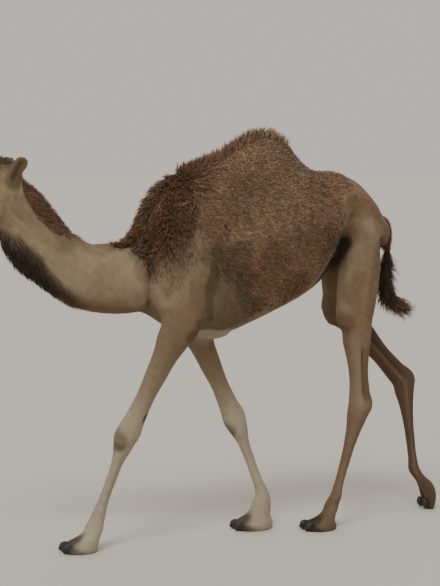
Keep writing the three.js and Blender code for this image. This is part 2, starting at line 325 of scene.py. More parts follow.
def srgb(hex_colour: str) -> Array:
    """Turn an sRGB hex colour into the linear light that shaders reckon in."""
    value = np.array([int(hex_colour[i : i + 2], 16) for i in (1, 3, 5)]) / 255
    return np.where(value <= 0.04045, value / 12.92, ((value + 0.055) / 1.055) ** 2.4)


def add_node(tree: bpy.types.NodeTree, kind: str, settings: dict, links: dict) -> bpy.types.Node:
    """Add a shader node with its settings and what feeds it.

    Args:
        tree: The material's node tree.
        kind: Blender's name of the node type.
        settings: Node properties, or values of inputs when the key is an input.
        links: Input name or number to the output socket that feeds it.

    Returns:
        The new node.
    """
    node = tree.nodes.new(kind)
    for key, value in settings.items():
        if isinstance(key, str) and hasattr(node, key):
            setattr(node, key, value)
        else:
            node.inputs[key].default_value = value
    for key, socket in links.items():
        tree.links.new(socket, node.inputs[key])
    return node


def empty_material(name: str) -> bpy.types.Material:
    """Start a material whose node tree is empty.

    Args:
        name: The material's name.

    Returns:
        The material.
    """
    material = bpy.data.materials.new(name)
    material.use_nodes = True
    material.node_tree.nodes.clear()
    return material


@dataclass(frozen=True)
class HairFinish:
    """Hair or hairy hide: rough, with a soft sheen, coloured by the coat's markings.

    Attributes:
        name: The finish's name.
        roughness: 0.8 to 0.9, as keratin that scatters light in all directions.
        sheen: How much light grazes off the hair ends.
        grain_mm: Size of the clumps that the hair falls into.
        contrast: How far clumps differ in brightness.
        bump_mm: Height of the grain, as bump.
    """

    name: str
    roughness: float
    sheen: float
    grain_mm: float
    contrast: float
    bump_mm: float

    def material(self) -> bpy.types.Material:
        """Build the shader: markings times grain, with the same grain as bump.

        Returns:
            The new material.
        """
        material = empty_material(self.name)
        tree = material.node_tree
        place = add_node(tree, "ShaderNodeTexCoord", {}, {})
        marks = add_node(tree, "ShaderNodeVertexColor", {"layer_name": "Marking"}, {})
        scale = 1.0 / (self.grain_mm * MM)
        grain = add_node(
            tree,
            "ShaderNodeTexNoise",
            {"Scale": scale, "Detail": 4.0, "Roughness": 0.6},
            {"Vector": place.outputs["Object"]},
        )
        level = add_node(
            tree,
            "ShaderNodeMapRange",
            {
                "From Min": 0.3,
                "From Max": 0.7,
                "To Min": 1 - self.contrast,
                "To Max": 1 + self.contrast,
            },
            {"Value": grain.outputs["Fac"]},
        )
        colour = add_node(
            tree,
            "ShaderNodeVectorMath",
            {"operation": "SCALE"},
            {0: marks.outputs["Color"], "Scale": level.outputs["Result"]},
        )
        bump = add_node(
            tree,
            "ShaderNodeBump",
            {"Strength": 1.0, "Distance": self.bump_mm * MM},
            {"Height": grain.outputs["Fac"]},
        )
        shader = add_node(
            tree,
            "ShaderNodeBsdfPrincipled",
            {
                "Roughness": self.roughness,
                "IOR": 1.55,
                "Specular IOR Level": 0.18,
                "Sheen Weight": self.sheen,
                "Sheen Roughness": 0.45,
            },
            {"Base Color": colour.outputs["Vector"], "Normal": bump.outputs["Normal"]},
        )
        add_node(tree, "ShaderNodeOutputMaterial", {}, {"Surface": shader.outputs["BSDF"]})
        return material


def dress(thing: bpy.types.Object, material: bpy.types.Material) -> None:
    """Give an object its material and smooth shading.

    Args:
        thing: The object.
        material: Its only material.
    """
    thing.data.materials.clear()
    thing.data.materials.append(material)
    thing.data.polygons.foreach_set("use_smooth", [True] * len(thing.data.polygons))


def paint(mesh: bpy.types.Mesh, colours: Array) -> None:
    """Store a linear colour for each vertex as the attribute that finishes read.

    Args:
        mesh: The mesh.
        colours: Linear colours, one row for each vertex.
    """
    layer = mesh.color_attributes.new("Marking", "FLOAT_COLOR", "POINT")
    rgba = np.ones((len(colours), 4), dtype=np.float32)
    rgba[:, :3] = colours
    layer.data.foreach_set("color", rgba.ravel())


# ---- Shape of the animal, in millimetres ----

ALONG = (1.0, 0.0, 0.0)
DOWN = (0.0, 0.0, -1.0)


def table(rows: Iterable[Sequence[float]], facing: Sequence[float] = ALONG) -> Array:
    """Turn rows of x, y, z, half depth, half width, egg into metres, with a facing.

    Args:
        rows: The rows in millimetres; the egg may be left out.
        facing: Direction that every section stands square to.

    Returns:
        The table that loft takes.
    """
    full = np.array([[*row, 0.0][:6] for row in rows], dtype=float)
    full[:, :5] *= MM
    return np.hstack([full, np.tile(facing, (len(full), 1))])


def upright_rows(rows: Rows) -> list[tuple[float, ...]]:
    """Rows of x, top, bottom, half width, egg as middles with half depths."""
    return [
        (x, 0, (top + low) / 2, (top - low) / 2, wide, *egg) for x, top, low, wide, *egg in rows
    ]


@dataclass(frozen=True)
class Torso:
    """Trunk, hump, neck, tail and breast callus, in millimetres.

    Attributes:
        trunk: Rows of x, back, belly, half width and egg.
        hump_foot: Height of the hump's foot, inside the barrel.
        hump: Rows of x, crest and half width.
        hump_egg: How much wider the hump is low down.
        neck: Rows of x, y, z, half depth and half width.
        tail: Rows of x, y, z, half depth and half width.
        pad_at: Middle of the breast callus.
        pad_half: Its three half sizes.
    """

    trunk: Rows = (
        (-404, 1390, 1080, 40, 0),
        (-340, 1453, 1060, 84, 0.05),
        (-270, 1583, 1038, 134, 0.12),
        (-180, 1676, 982, 176, 0.2),
        (-60, 1712, 932, 208, 0.24),
        (90, 1726, 932, 236, 0.25),
        (230, 1728, 982, 254, 0.24),
        (360, 1722, 1038, 264, 0.2),
        (480, 1712, 1094, 258, 0.11),
        (590, 1698, 1168, 234, -0.05),
        (690, 1688, 1306, 202, -0.2),
        (780, 1644, 1378, 180, -0.14),
        (860, 1558, 1362, 157, 0),
        (925, 1478, 1326, 120, 0),
        (960, 1440, 1338, 62, 0),
    )
    hump_foot: float = 1500
    hump: Rows = (
        (-190, 1668, 40),
        (-110, 1716, 74),
        (0, 1753, 98),
        (100, 1794, 118),
        (190, 1850, 130),
        (260, 1878, 134),
        (350, 1880, 132),
        (425, 1842, 122),
        (490, 1764, 104),
        (550, 1716, 74),
        (600, 1688, 40),
    )
    hump_egg: float = 0.42
    neck: Rows = (
        (-915, 0, 1606, 112, 74),
        (-856, 0, 1521, 141, 86),
        (-780, 0, 1402, 156, 92),
        (-686, 0, 1300, 148, 98),
        (-570, 0, 1228, 152, 108),
        (-440, 0, 1212, 164, 124),
        (-310, 0, 1222, 172, 146),
        (-230, 0, 1240, 170, 158),
    )
    tail: Rows = (
        (900, 0, 1478, 26, 34),
        (944, 0, 1444, 24, 32),
        (968, 0, 1386, 20, 26),
        (966, -1, 1320, 16, 20),
        (960, -3, 1250, 14, 17),
        (956, -5, 1190, 17, 18),
        (957, -6, 1140, 20, 19),
        (970, -6, 1096, 22, 20),
        (1002, -6, 1056, 20, 18),
        (1036, -6, 1026, 12, 12),
    )
    pad_at: Sequence[float] = (36, 0, 946)
    pad_half: Sequence[float] = (112, 74, 36)

    def surfaces(self) -> list[Surface]:
        """The lofts of the torso, with the ball of its callus.

        Returns:
            Five closed surfaces that run into each other.
        """
        hump = [(x, crest, self.hump_foot, half, self.hump_egg) for x, crest, half in self.hump]
        return [
            loft(table(upright_rows(self.trunk)), 64, 90, True),
            loft(table(upright_rows(hump)), 48, 60, True),
            loft(table(self.neck), 48, 70, False),
            loft(table(self.tail), 16, 60, False),
            ball(np.array(self.pad_at) * MM, np.array(self.pad_half) * MM),
        ]


@dataclass(frozen=True)
class Head:
    """Skull, jaw, swellings and ears, in millimetres.

    Attributes:
        skull: Rows of x, profile, underside, half width and egg.
        jaw: Rows of x, upper edge, underside and half width.
        swellings: Middle and three half sizes of each swelling of the right side.
        ear: Rows of x, y, z, half depth and half width.
    """

    skull: Rows = (
        (-1336, 1604, 1566, 16, 0.1),
        (-1324, 1630, 1556, 38, 0.1),
        (-1290, 1652, 1550, 51, 0.05),
        (-1244, 1668, 1546, 56, 0),
        (-1194, 1685, 1542, 60, 0),
        (-1142, 1708, 1536, 71, 0.05),
        (-1098, 1733, 1516, 86, 0.08),
        (-1048, 1752, 1490, 99, 0.1),
        (-990, 1759, 1472, 104, 0.16),
        (-930, 1752, 1466, 99, 0.14),
        (-880, 1733, 1482, 88, 0.1),
        (-836, 1700, 1526, 58, 0),
    )
    jaw: Rows = (
        (-1318, 1590, 1532, 20),
        (-1302, 1600, 1512, 38),
        (-1260, 1604, 1501, 46),
        (-1190, 1604, 1494, 50),
        (-1120, 1604, 1486, 60),
        (-1050, 1604, 1480, 70),
    )
    swellings: Sequence[tuple[Sequence[float], Sequence[float]]] = (
        ((-1052, 62, 1716), (58, 32, 26)),
        ((-985, 60, 1564), (94, 42, 84)),
        ((-1284, 31, 1624), (36, 24, 24)),
        ((-1308, 20, 1588), (31, 29, 36)),
    )
    ear: Rows = (
        (-912, 74, 1614, 20, 14),
        (-903, 84, 1650, 32, 16),
        (-889, 93, 1684, 41, 15),
        (-875, 100, 1713, 40, 13),
        (-864, 105, 1738, 30, 10),
        (-858, 108, 1757, 14, 7),
    )

    def surfaces(self) -> list[Surface]:
        """The lofts of the head, those of one side repeated on the other.

        Returns:
            Closed surfaces that run into each other.
        """
        whole = [
            loft(table(upright_rows(self.skull)), 40, 60, True),
            loft(table(upright_rows(self.jaw)), 32, 36, True),
        ]
        paired = [ball(np.array(at) * MM, np.array(half) * MM) for at, half in self.swellings]
        paired.append(loft(table(self.ear), 20, 24, False))
        return whole + paired + [mirrored(surface) for surface in paired]


# Sections of a leg's bones: share of the bone's length, half depth, half width.
SHOULDER = ((0, 30, 20), (0.14, 84, 46), (0.36, 126, 64), (0.62, 134, 72), (0.84, 116, 74))
FOREARM = ((0, 99, 70), (0.15, 82, 61), (0.29, 62, 52), (0.45, 53, 45), (0.64, 45, 41), (0.84, 50, 45))
FORE_CANNON = ((0, 54, 50), (0.15, 44, 44), (0.3, 30, 32), (0.55, 25, 27), (0.8, 25, 28))
THIGH = ((0, 30, 20), (0.12, 70, 52), (0.3, 104, 80), (0.52, 118, 88), (0.74, 112, 80), (0.88, 102, 70))
GASKIN = ((0, 90, 61), (0.2, 79, 53), (0.34, 66, 46), (0.5, 54, 41), (0.66, 49, 38), (0.84, 54, 39))
HIND_CANNON = ((0, 61, 42), (0.12, 54, 40), (0.27, 39, 33), (0.45, 29, 28), (0.7, 24, 26), (0.88, 24, 29))
# Rings of a standing foot: height, share of its length, of its half width, middle behind.
FORE_RINGS = (
    (136, 0.42, 0.5, 0.35),
    (112, 0.5, 0.56, 0.31),
    (88, 0.52, 0.64, 0.28),
    (66, 0.6, 0.76, 0.2),
    (46, 0.82, 0.9, 0.09),
    (26, 1, 1, 0),
    (-2, 0.94, 0.95, 0),
)
HIND_RINGS = (
    (120, 0.4, 0.5, 0.38),
    (92, 0.42, 0.56, 0.34),
    (68, 0.44, 0.64, 0.26),
    (50, 0.58, 0.78, 0.16),
    (36, 0.82, 0.92, 0.04),
    (20, 1, 1, 0),
    (-2, 0.94, 0.95, 0),
)


class Limb(Enum):
    """Which kind of leg: its three bones, half sizes at the fetlock, and foot's rings."""

    FORE = ((SHOULDER, FOREARM, FORE_CANNON), (31, 34), FORE_RINGS)
    HIND = ((THIGH, GASKIN, HIND_CANNON), (29, 33), HIND_RINGS)


@dataclass(frozen=True)
class Leg:
    """One leg from its root to the sole.

    Attributes:
        limb: Fore or hind.
        side: -1 on the animal's left, 1 on its right.
        joints: Root, elbow or stifle, knee or hock, and fetlock, in millimetres.
        foot_y: y of the middle of the sole.
        toe: Foremost x of the sole. This and the next two are for a foot that stands flat.
        heel: Rearmost x of the sole.
        half: Half width of the foot.
        leaving: Whether the foot is up on its toes.
        back: Scale of how far behind the foot's middle its pastern stands.
    """

    limb: Limb
    side: int
    joints: Rows
    foot_y: float
    toe: float = 0.0
    heel: float = 0.0
    half: float = 0.0
    leaving: bool = False
    back: float = 1.0

    # Rings of a foot on its toes: x, z, half depth, half width.
    LEAVING_RINGS = (
        (1234, 152, 27, 40),
        (1266, 110, 37, 56),
        (1279, 66, 34, 64),
        (1281, 28, 26, 58),
        (1280, -10, 13, 44),
    )

    def rows(self) -> Array:
        """Every section of the leg, each with the direction that it faces.

        Returns:
            The table that loft takes.
        """
        points = np.array(self.joints, dtype=float)
        ways = unit(np.diff(points, axis=0))
        rows: list[list[float]] = []
        bones, fetlock, rings = self.limb.value
        for i, bone in enumerate(bones):
            for share, deep, wide in bone:
                way = unit(ways[i] + ways[i - 1 if share == 0 and i else i])
                rows.append([*(points[i] * (1 - share) + points[i + 1] * share), deep, wide, 0, *way])
        rows.append([*points[-1], *fetlock, 0, *ways[-1]])
        if self.leaving:
            ring = np.array(self.LEAVING_RINGS, dtype=float)
            turns = unit(np.gradient(ring[:, :2], axis=0))
            rows += [
                [x, self.foot_y, z, deep, wide, 0, way[0], 0, way[1]]
                for (x, z, deep, wide), way in zip(ring, turns)
            ]
        else:
            long = self.heel - self.toe
            middle = (self.heel + self.toe) / 2
            for z, share, broad, back in rings:
                x = middle + back * self.back * long
                rows.append([x, self.foot_y, z, share * long / 2, self.half * broad, 0, *DOWN])
        full = np.array(rows)
        full[:, :5] *= MM
        return full

    def surface(self) -> Surface:
        """The leg as one loft."""
        return loft(self.rows(), 32, 150, True)

    def path(self) -> Array:
        """Joints and toe, in metres, as the line that the leg's places are counted on."""
        x = self.LEAVING_RINGS[-1][0] if self.leaving else (self.toe + self.heel) / 2
        return np.array([*self.joints, (x, self.foot_y, 0)], dtype=float) * MM


LEGS = (
    Leg(
        Limb.FORE,
        -1,
        joints=((-190, -108, 1560), (-156, -160, 1012), (-405, -122, 506), (-526, -98, 170)),
        foot_y=-92,
        toe=-704,
        heel=-528,
        half=82,
        back=1.3,
    ),
    Leg(
        Limb.FORE,
        1,
        joints=((-176, 108, 1560), (10, 156, 1006), (208, 78, 514), (329, 52, 173)),
        foot_y=42,
        toe=176,
        heel=384,
        half=82,
        back=0.68,
    ),
    Leg(
        Limb.HIND,
        -1,
        joints=((776, -92, 1584), (717, -164, 990), (749, -150, 592), (641, -112, 152)),
        foot_y=-92,
        toe=478,
        heel=655,
        half=78,
    ),
    Leg(
        Limb.HIND,
        1,
        joints=((780, 92, 1584), (806, 164, 1012), (1140, 146, 650), (1196, 130, 204)),
        foot_y=128,
        leaving=True,
    ),
)


@dataclass(frozen=True)
class LegPlaces:
    """Where points lie on the leg that is nearest to them.

    Attributes:
        near: 1 on the leg itself, fading to 0 away from it.
        down: 0 at the root, 1 at the elbow or stifle, 2 at the knee or hock, 3 at
            the fetlock, 4 at the sole.
        turn: Angle round the leg in degrees: 0 behind, 90 outside, 180 in front and
            -90 inside.
        fore: Whether the leg is a fore leg.
        index: The leg's number in LEGS.
    """

    near: Array
    down: Array
    turn: Array
    fore: Array
    index: Array


def leg_places(points: Array) -> LegPlaces:
    """Find, for each point, the nearest leg and the place on it.

    Args:
        points: Places in metres.

    Returns:
        One value of each kind for each place.
    """
    count = len(points)
    best = np.full(count, 1e9)
    down, turn, index = np.zeros(count), np.zeros(count), np.zeros(count, dtype=int)
    for number, leg in enumerate(LEGS):
        path = leg.path()
        for bone in range(len(path) - 1):
            start, end = path[bone], path[bone + 1]
            distance, share = from_segment(points, start, end)
            ahead = unit(end - start)
            side = unit(np.array([0, 1.0, 0]) - ahead * ahead[1])
            rear = np.cross(ahead, side)
            offset = points - start - share[:, None] * (end - start)
            angle = np.degrees(np.arctan2(offset @ side * leg.side, offset @ rear))
            wrong_side = (points[:, 1] * leg.side < -0.03) & (points[:, 2] > 0.7)
            distance = distance + np.where(wrong_side, 1.0, 0.0)
            closer = distance < best
            best = np.where(closer, distance, best)
            down = np.where(closer, bone + share, down)
            turn = np.where(closer, angle, turn)
            index = np.where(closer, number, index)
    near = smooth(0.19, 0.11, best) * smooth(1.30, 1.0, points[:, 2])
    fore = np.array([leg.limb is Limb.FORE for leg in LEGS])[index]
    return LegPlaces(near, down, turn, fore, index)


# ---- Modelling of the hide ----


@dataclass(frozen=True)
class Fold:
    """A swelling or crease along a line, the same on both sides of the animal.

    The skin moves along its outward direction by rise times exp(-(d / radius)^2),
    where d is the distance from the line.

    Attributes:
        line: Two or more places, x, y, z, in millimetres.
        radius: How far the fold reaches, in millimetres.
        rise: Its height in millimetres, below nought for a crease.
        flat: Whether only x and height count, so that the fold runs right across.
    """

    line: Rows
    radius: float
    rise: float
    flat: bool = False

    def shift(self, points: Array) -> Array:
        """How far each place moves outwards.

        Args:
            points: Places in metres.

        Returns:
            The shift along the skin's outward direction, in metres.
        """
        line = np.array(self.line, dtype=float) * MM
        reach = 2.6 * self.radius * MM
        low, high = line.min(axis=0) - reach, line.max(axis=0) + reach
        folded = points * [1, not self.flat, 1]
        folded[:, 1] = np.abs(folded[:, 1])
        near = np.all((folded > low) & (folded < high), axis=1)
        shift = np.zeros(len(points))
        if near.any():
            distance = np.full(near.sum(), 1e9)
            for start, end in zip(line, line[1:] if len(line) > 1 else line):
                distance = np.minimum(distance, from_segment(folded[near], start, end)[0])
            shift[near] = self.rise * MM * np.exp(-((distance / (self.radius * MM)) ** 2))
        return shift


@dataclass(frozen=True)
class Ridge:
    """A swelling or groove that runs down a leg at one angle round it.

    The skin moves outwards by the rise times a bell of the angle, and times a smooth
    window of the place down the leg.

    Attributes:
        limb: The legs that have it.
        top: Where it begins, counted as LegPlaces.down is.
        low: Where it ends.
        turn: Its angle round the leg, counted as LegPlaces.turn is.
        spread: Angle to either side at which it has fallen to about a third.
        rise: Its height in millimetres, below nought for a groove.
    """

    limb: Limb
    top: float
    low: float
    turn: float
    spread: float
    rise: float

    def shift(self, places: LegPlaces) -> Array:
        """How far each place moves outwards.

        Args:
            places: The places on their legs.

        Returns:
            The shift along the skin's outward direction, in metres.
        """
        away = (places.turn - self.turn + 180) % 360 - 180
        fade = min(0.14, (self.low - self.top) / 2)
        window = smooth(self.top - fade, self.top + fade, places.down)
        window = window * smooth(self.low + fade, self.low - fade, places.down)
        kind = places.fore == (self.limb is Limb.FORE)
        return self.rise * MM * np.exp(-((away / self.spread) ** 2)) * window * kind * places.near


BODY_FOLDS = (
    Fold(((-170, 150, 1600), (-250, 200, 1300)), 48, 9),  # shoulder blade
    Fold(((-262, 190, 1190),), 70, 12),  # point of the shoulder
    Fold(
        ((-322, 150, 1350), (-298, 156, 1290), (-298, 156, 1233), (-294, 140, 1165), (-282, 96, 1093)),
        15,
        -16,
    ),  # in front of the shoulder
    Fold(((-340, 146, 1240), (-336, 130, 1150)), 26, 6),
    Fold(((-40, 228, 1330), (-40, 236, 1180), (-42, 210, 1030)), 30, -12),  # behind the upper arm
    Fold(((20, 240, 1200), (60, 230, 1080)), 74, -15),  # hollow behind the elbow
    Fold(((640, 200, 1500), (610, 215, 1380)), 60, -10),  # flank hollow
    Fold(((692, 196, 1470), (684, 186, 1400)), 18, -18),
    Fold(
        ((676, 180, 1385), (646, 168, 1310), (612, 165, 1240), (586, 150, 1180)),
        34,
        -56,
    ),  # between flank and thigh
    Fold(((575, 150, 1672), (640, 196, 1640), (676, 200, 1590)), 30, 13),  # hip bone
    Fold(((676, 190, 1600), (850, 150, 1520)), 40, 5),
    Fold(
        ((742, 205, 1440), (700, 205, 1330), (668, 200, 1230), (654, 190, 1130)),
        34,
        9,
    ),  # edge of the thigh
    Fold(((300, 262, 1500), (420, 262, 1440), (520, 240, 1420)), 60, 6),  # last ribs
    Fold(((840, 170, 1420), (812, 200, 1180)), 26, -7),  # parting of the thigh's muscles
    Fold(((620, 0, 1700), (880, 0, 1540)), 30, 5),  # croup
    Fold(((-640, 70, 1400), (-420, 110, 1330)), 40, 6),  # top muscle of the neck
    Fold(((-860, 78, 1470), (-700, 84, 1270), (-520, 92, 1150)), 30, -6),  # jugular furrow
    Fold(((-880, 60, 1400), (-720, 60, 1220), (-560, 66, 1120)), 34, 5),
    Fold(((930, 60, 1360), (900, 84, 1250)), 30, -8),  # beside the tail
)
NOSTRIL = ((-1308, 34, 1648), (-1290, 50, 1626), (-1274, 56, 1606), (-1268, 56, 1598))
MOUTH = (
    (-1350, 0, 1566),
    (-1326, 0, 1560),
    (-1300, 0, 1556),
    (-1262, 0, 1553),
    (-1206, 0, 1549),
    (-1172, 0, 1540),
)
HEAD_FOLDS = (
    Fold(((-1064, 104, 1684),), 26, -4),  # eye socket
    Fold(((-1100, 84, 1700), (-1064, 96, 1716), (-1024, 92, 1708)), 11, 3),  # brow
    Fold(((-1120, 74, 1648), (-1060, 94, 1642), (-1000, 104, 1650)), 15, 5),  # cheekbone
    Fold(((-1008, 96, 1704),), 26, -7),  # temple
    Fold(((-1226, 54, 1636), (-1140, 70, 1650)), 18, -3),
    Fold(NOSTRIL, 4.6, -13),
    Fold(((-1318, 34, 1640), (-1300, 50, 1614), (-1282, 56, 1596)), 6, 4.5),
    Fold(((-1296, 38, 1656), (-1272, 56, 1632), (-1256, 58, 1610)), 7, 5),
    Fold(MOUTH, 4.5, -6, True),
    Fold(((-1330, 16, 1574), (-1300, 44, 1568), (-1240, 56, 1564)), 8, 3),  # upper lip's roll
    Fold(((-1322, 14, 1544), (-1290, 38, 1540), (-1230, 48, 1536)), 8, 2.5),  # lower lip's roll
    Fold(((-1338, 0, 1622), (-1340, 0, 1572)), 4.5, -5),  # split of the upper lip
    Fold(((-1306, 0, 1512),), 22, 4),  # chin
    Fold(((-1190, 46, 1498), (-1080, 62, 1486), (-1000, 76, 1480)), 14, 4),  # edge of the jaw
    Fold(((-928, 90, 1560), (-904, 80, 1480), (-900, 60, 1420)), 20, -7),  # behind the cheek
    Fold(((-902, 100, 1662), (-884, 110, 1694), (-870, 114, 1722)), 15, -12),  # hollow of the ear
    Fold(
        ((-922, 88, 1664), (-912, 98, 1690), (-896, 106, 1722), (-874, 110, 1748)),
        7,
        4,
    ),  # its front rim
    Fold(((-940, 80, 1664), (-916, 96, 1650)), 12, 5),
)
LEG_RIDGES = (
    Ridge(Limb.FORE, 0.93, 1.06, 0, 38, 9),  # point of the elbow
    Ridge(Limb.FORE, 1.1, 1.6, 150, 34, 4),
    Ridge(Limb.FORE, 1.15, 1.7, 60, 24, -4),
    Ridge(Limb.FORE, 1.9, 2.1, 180, 60, 5),  # knee
    Ridge(Limb.FORE, 1.88, 2.0, 0, 36, 6),
    Ridge(Limb.FORE, 1.94, 2.08, 90, 30, 3),
    Ridge(Limb.FORE, 2.16, 2.86, 0, 26, 4),  # tendons
    Ridge(Limb.FORE, 2.16, 2.86, 52, 20, -5),
    Ridge(Limb.FORE, 2.16, 2.86, -52, 20, -5),
    Ridge(Limb.FORE, 2.2, 2.85, 110, 30, 2),
    Ridge(Limb.FORE, 2.9, 3.1, 0, 50, 4),  # fetlock
    Ridge(Limb.FORE, 2.9, 3.06, 90, 34, 3),
    Ridge(Limb.HIND, 0.9, 1.04, 170, 50, 13),  # kneecap
    Ridge(Limb.HIND, 1.06, 1.2, 170, 40, -8),
    Ridge(Limb.HIND, 1.28, 1.9, 74, 17, -14),  # in front of the hamstring tendon
    Ridge(Limb.HIND, 1.28, 1.9, -74, 17, -14),
    Ridge(Limb.HIND, 1.1, 1.8, 128, 26, 5),
    Ridge(Limb.HIND, 0.6, 0.98, 150, 26, 6),
    Ridge(Limb.HIND, 0.62, 0.98, 112, 16, -5),
    Ridge(Limb.HIND, 1.3, 1.9, 0, 26, 3),
    Ridge(Limb.HIND, 1.92, 2.05, 0, 34, 7),  # point of the hock
    Ridge(Limb.HIND, 1.95, 2.12, 95, 34, 4),
    Ridge(Limb.HIND, 2.2, 2.86, 0, 26, 4),
    Ridge(Limb.HIND, 2.2, 2.86, 52, 20, -4),
    Ridge(Limb.HIND, 2.2, 2.86, -52, 20, -4),
    Ridge(Limb.HIND, 2.9, 3.1, 0, 50, 4),
)

# Where lofts run into each other and the hide is smoothed: line, then reach.
BLENDS = (
    (((-400, 0, 1390), (-300, 60, 1480), (-230, 110, 1560)), 90),
    (((-330, 130, 1330), (-260, 140, 1080), (-180, 110, 980)), 80),
    (((-190, 130, 1560), (-60, 200, 1300), (-30, 190, 1000)), 80),
    (((760, 150, 1600), (690, 180, 1420), (650, 180, 1240)), 80),
    (((880, 130, 1480), (900, 130, 1350)), 60),
    (((-180, 80, 1690), (100, 120, 1700), (400, 125, 1690), (580, 80, 1700)), 70),
    (((-850, 60, 1690), (-860, 80, 1600), (-900, 60, 1480)), 60),
    (((-100, 90, 950), (-20, 90, 970)), 70),
    (((640, 90, 1180), (760, 80, 1320)), 80),
)


class Hide:
    """The one skin of the whole animal.

    Its faces are divided once in the fine regions, again in the finest and once more
    in the smallest. A region is two opposite corners of a box, in millimetres.
    """

    VOXEL = 10.8 * MM
    EVEN_STEPS = 5
    JOIN_STEPS = 42
    FINE_REGIONS = (((-1400, -200, 1400), (-838, 200, 1800)),)
    FINEST_REGIONS = (
        ((-1360, -90, 1530), (-1255, 90, 1665)),
        ((-1110, 60, 1640), (-1022, 130, 1728)),
        ((-1110, -130, 1640), (-1022, -60, 1728)),
        ((-1260, -90, 1528), (-1150, 90, 1568)),
    )
    SMALLEST_REGIONS = (
        ((-1092, 66, 1658), (-1036, 130, 1706)),
        ((-1092, -130, 1658), (-1036, -66, 1706)),
        ((-1322, -70, 1588), (-1256, 70, 1662)),
    )

    def __init__(self) -> None:
        """Gather the lofts, model the folds and keep the finished tables."""
        self.object = self.gather()
        self.even_out()
        self.refine()
        self.model()
        self.object.data.update()
        self.points = read_points(self.object.data)
        self.normals = read_normals(self.object.data)
        self.places = leg_places(self.points)

    def gather(self) -> bpy.types.Object:
        """Join every loft and remesh the whole into one closed skin.

        Returns:
            The hide's object.
        """
        parts = Torso().surfaces() + Head().surfaces() + [leg.surface() for leg in LEGS]
        whole = joined(parts)
        raw = mesh_object("raw_hide", whole.points, whole.faces)
        remesh = raw.modifiers.new("gather", "REMESH")
        remesh.mode = "VOXEL"
        remesh.voxel_size = self.VOXEL
        evaluated = raw.evaluated_get(bpy.context.evaluated_depsgraph_get())
        mesh = bpy.data.meshes.new_from_object(evaluated)
        bpy.data.objects.remove(raw)
        mesh.name = "hide"
        return placed("hide", mesh)

    def even_out(self) -> None:
        """Smooth away the voxel steps everywhere, then the joins of the lofts.

        The first passes go in and out by turns, which keeps thin forms their size.
        """
        mesh = self.object.data
        points = read_points(mesh)
        edges = np.empty(len(mesh.edges) * 2, dtype=np.int32)
        mesh.edges.foreach_get("vertices", edges)
        a, b = edges.reshape(-1, 2).T
        degree = np.bincount(np.concatenate([a, b]), minlength=len(points))[:, None]
        folded = points.copy()
        folded[:, 1] = np.abs(folded[:, 1])
        join = np.zeros(len(points))
        for line, reach in BLENDS:
            knots = np.array(line, dtype=float) * MM
            for start, end in zip(knots, knots[1:]):
                distance, _ = from_segment(folded, start, end)
                join = np.maximum(join, smooth(reach * MM, 0.3 * reach * MM, distance))

        def relax(share: Array | float) -> None:
            """Move every place towards the mean of its neighbours.

            Args:
                share: How much of the way it goes; below nought, away from them.
            """
            nonlocal points
            size = len(points)
            total = np.stack(
                [np.bincount(a, points[b, k], size) + np.bincount(b, points[a, k], size) for k in range(3)],
                axis=1,
            )
            points = points + (total / degree - points) * share

        for _ in range(self.EVEN_STEPS):
            relax(0.5)
            relax(-0.53)
        for _ in range(self.JOIN_STEPS):
            relax(join[:, None] * 0.7)
        write_points(mesh, points)

    def refine(self) -> None:
        """Divide the faces of the head, then those of eyes and muzzle, then lids and nostrils."""
        net = bmesh.new()
        net.from_mesh(self.object.data)
        for regions in (self.FINE_REGIONS, self.FINEST_REGIONS, self.SMALLEST_REGIONS):
            boxes = [(np.array(low) * MM, np.array(high) * MM) for low, high in regions]
            centres = np.array([face.calc_center_median()[:] for face in net.faces])
            chosen = np.zeros(len(centres), dtype=bool)
            for low, high in boxes:
                chosen |= np.all((centres > low) & (centres < high), axis=1)
            faces = [face for face, pick in zip(net.faces, chosen) if pick]
            edges = list({edge for face in faces for edge in face.edges})
            bmesh.ops.subdivide_edges(net, edges=edges, cuts=1, use_grid_fill=True)
            inner = list({vert for face in faces if face.is_valid for vert in face.verts})
            bmesh.ops.smooth_vert(
                net, verts=inner, factor=0.5, use_axis_x=True, use_axis_y=True, use_axis_z=True
            )
        bmesh.ops.triangulate(net, faces=[face for face in net.faces if len(face.verts) > 4])
        net.to_mesh(self.object.data)
        net.free()
        self.object.data.update()

    def model(self) -> None:
        """Sink the hide under its coat, then raise the folds and press the creases."""
        mesh = self.object.data
        points, normals = read_points(mesh), read_normals(mesh)
        places = leg_places(points)
        points -= normals * (coat_depth(points, places) * MM)[:, None]
        shift = np.zeros(len(points))
        for fold in BODY_FOLDS + HEAD_FOLDS:
            shift += fold.shift(points)
        for ridge in LEG_RIDGES:
            shift += ridge.shift(places)
        shift += cleft_shift(points) + lid_shift(points)
        points += normals * shift[:, None]
        # Soles lie level on the floor.
        standing = points[:, 2] < 0.004
        points[:, 2] = np.where(standing, np.maximum(points[:, 2], 0.0), points[:, 2])
        points[:, 2] = np.where(points[:, 2] < 0.0015, 0.0, points[:, 2])
        write_points(mesh, points)


# The right eye's middle and radius, and the half length and height of its opening.
EYE_AT = (-1064, 72, 1682)
EYE_RADIUS = 20.5
LID_HALF = (18.0, 9.5)


def lid_places(points: Array) -> tuple[Array, Array, Array]:
    """Places round the nearer eye: forwards and upwards in millimetres, and the almond's share.

    The share is 0 at the middle of the opening and 1 on its rim, where it is
    sqrt((forward / half length)^2 + (up / half height)^2) drawn in at the corners.

    Args:
        points: Places in metres.

    Returns:
        Forwards, upwards and the share, one of each for every place.
    """
    forward = -(points[:, 0] / MM - EYE_AT[0])
    up = points[:, 2] / MM - EYE_AT[2] + 0.12 * forward
    long, high = LID_HALF
    share = np.hypot(forward / long, up / high * (1 + 0.5 * np.abs(forward) / long))
    return forward, up, share


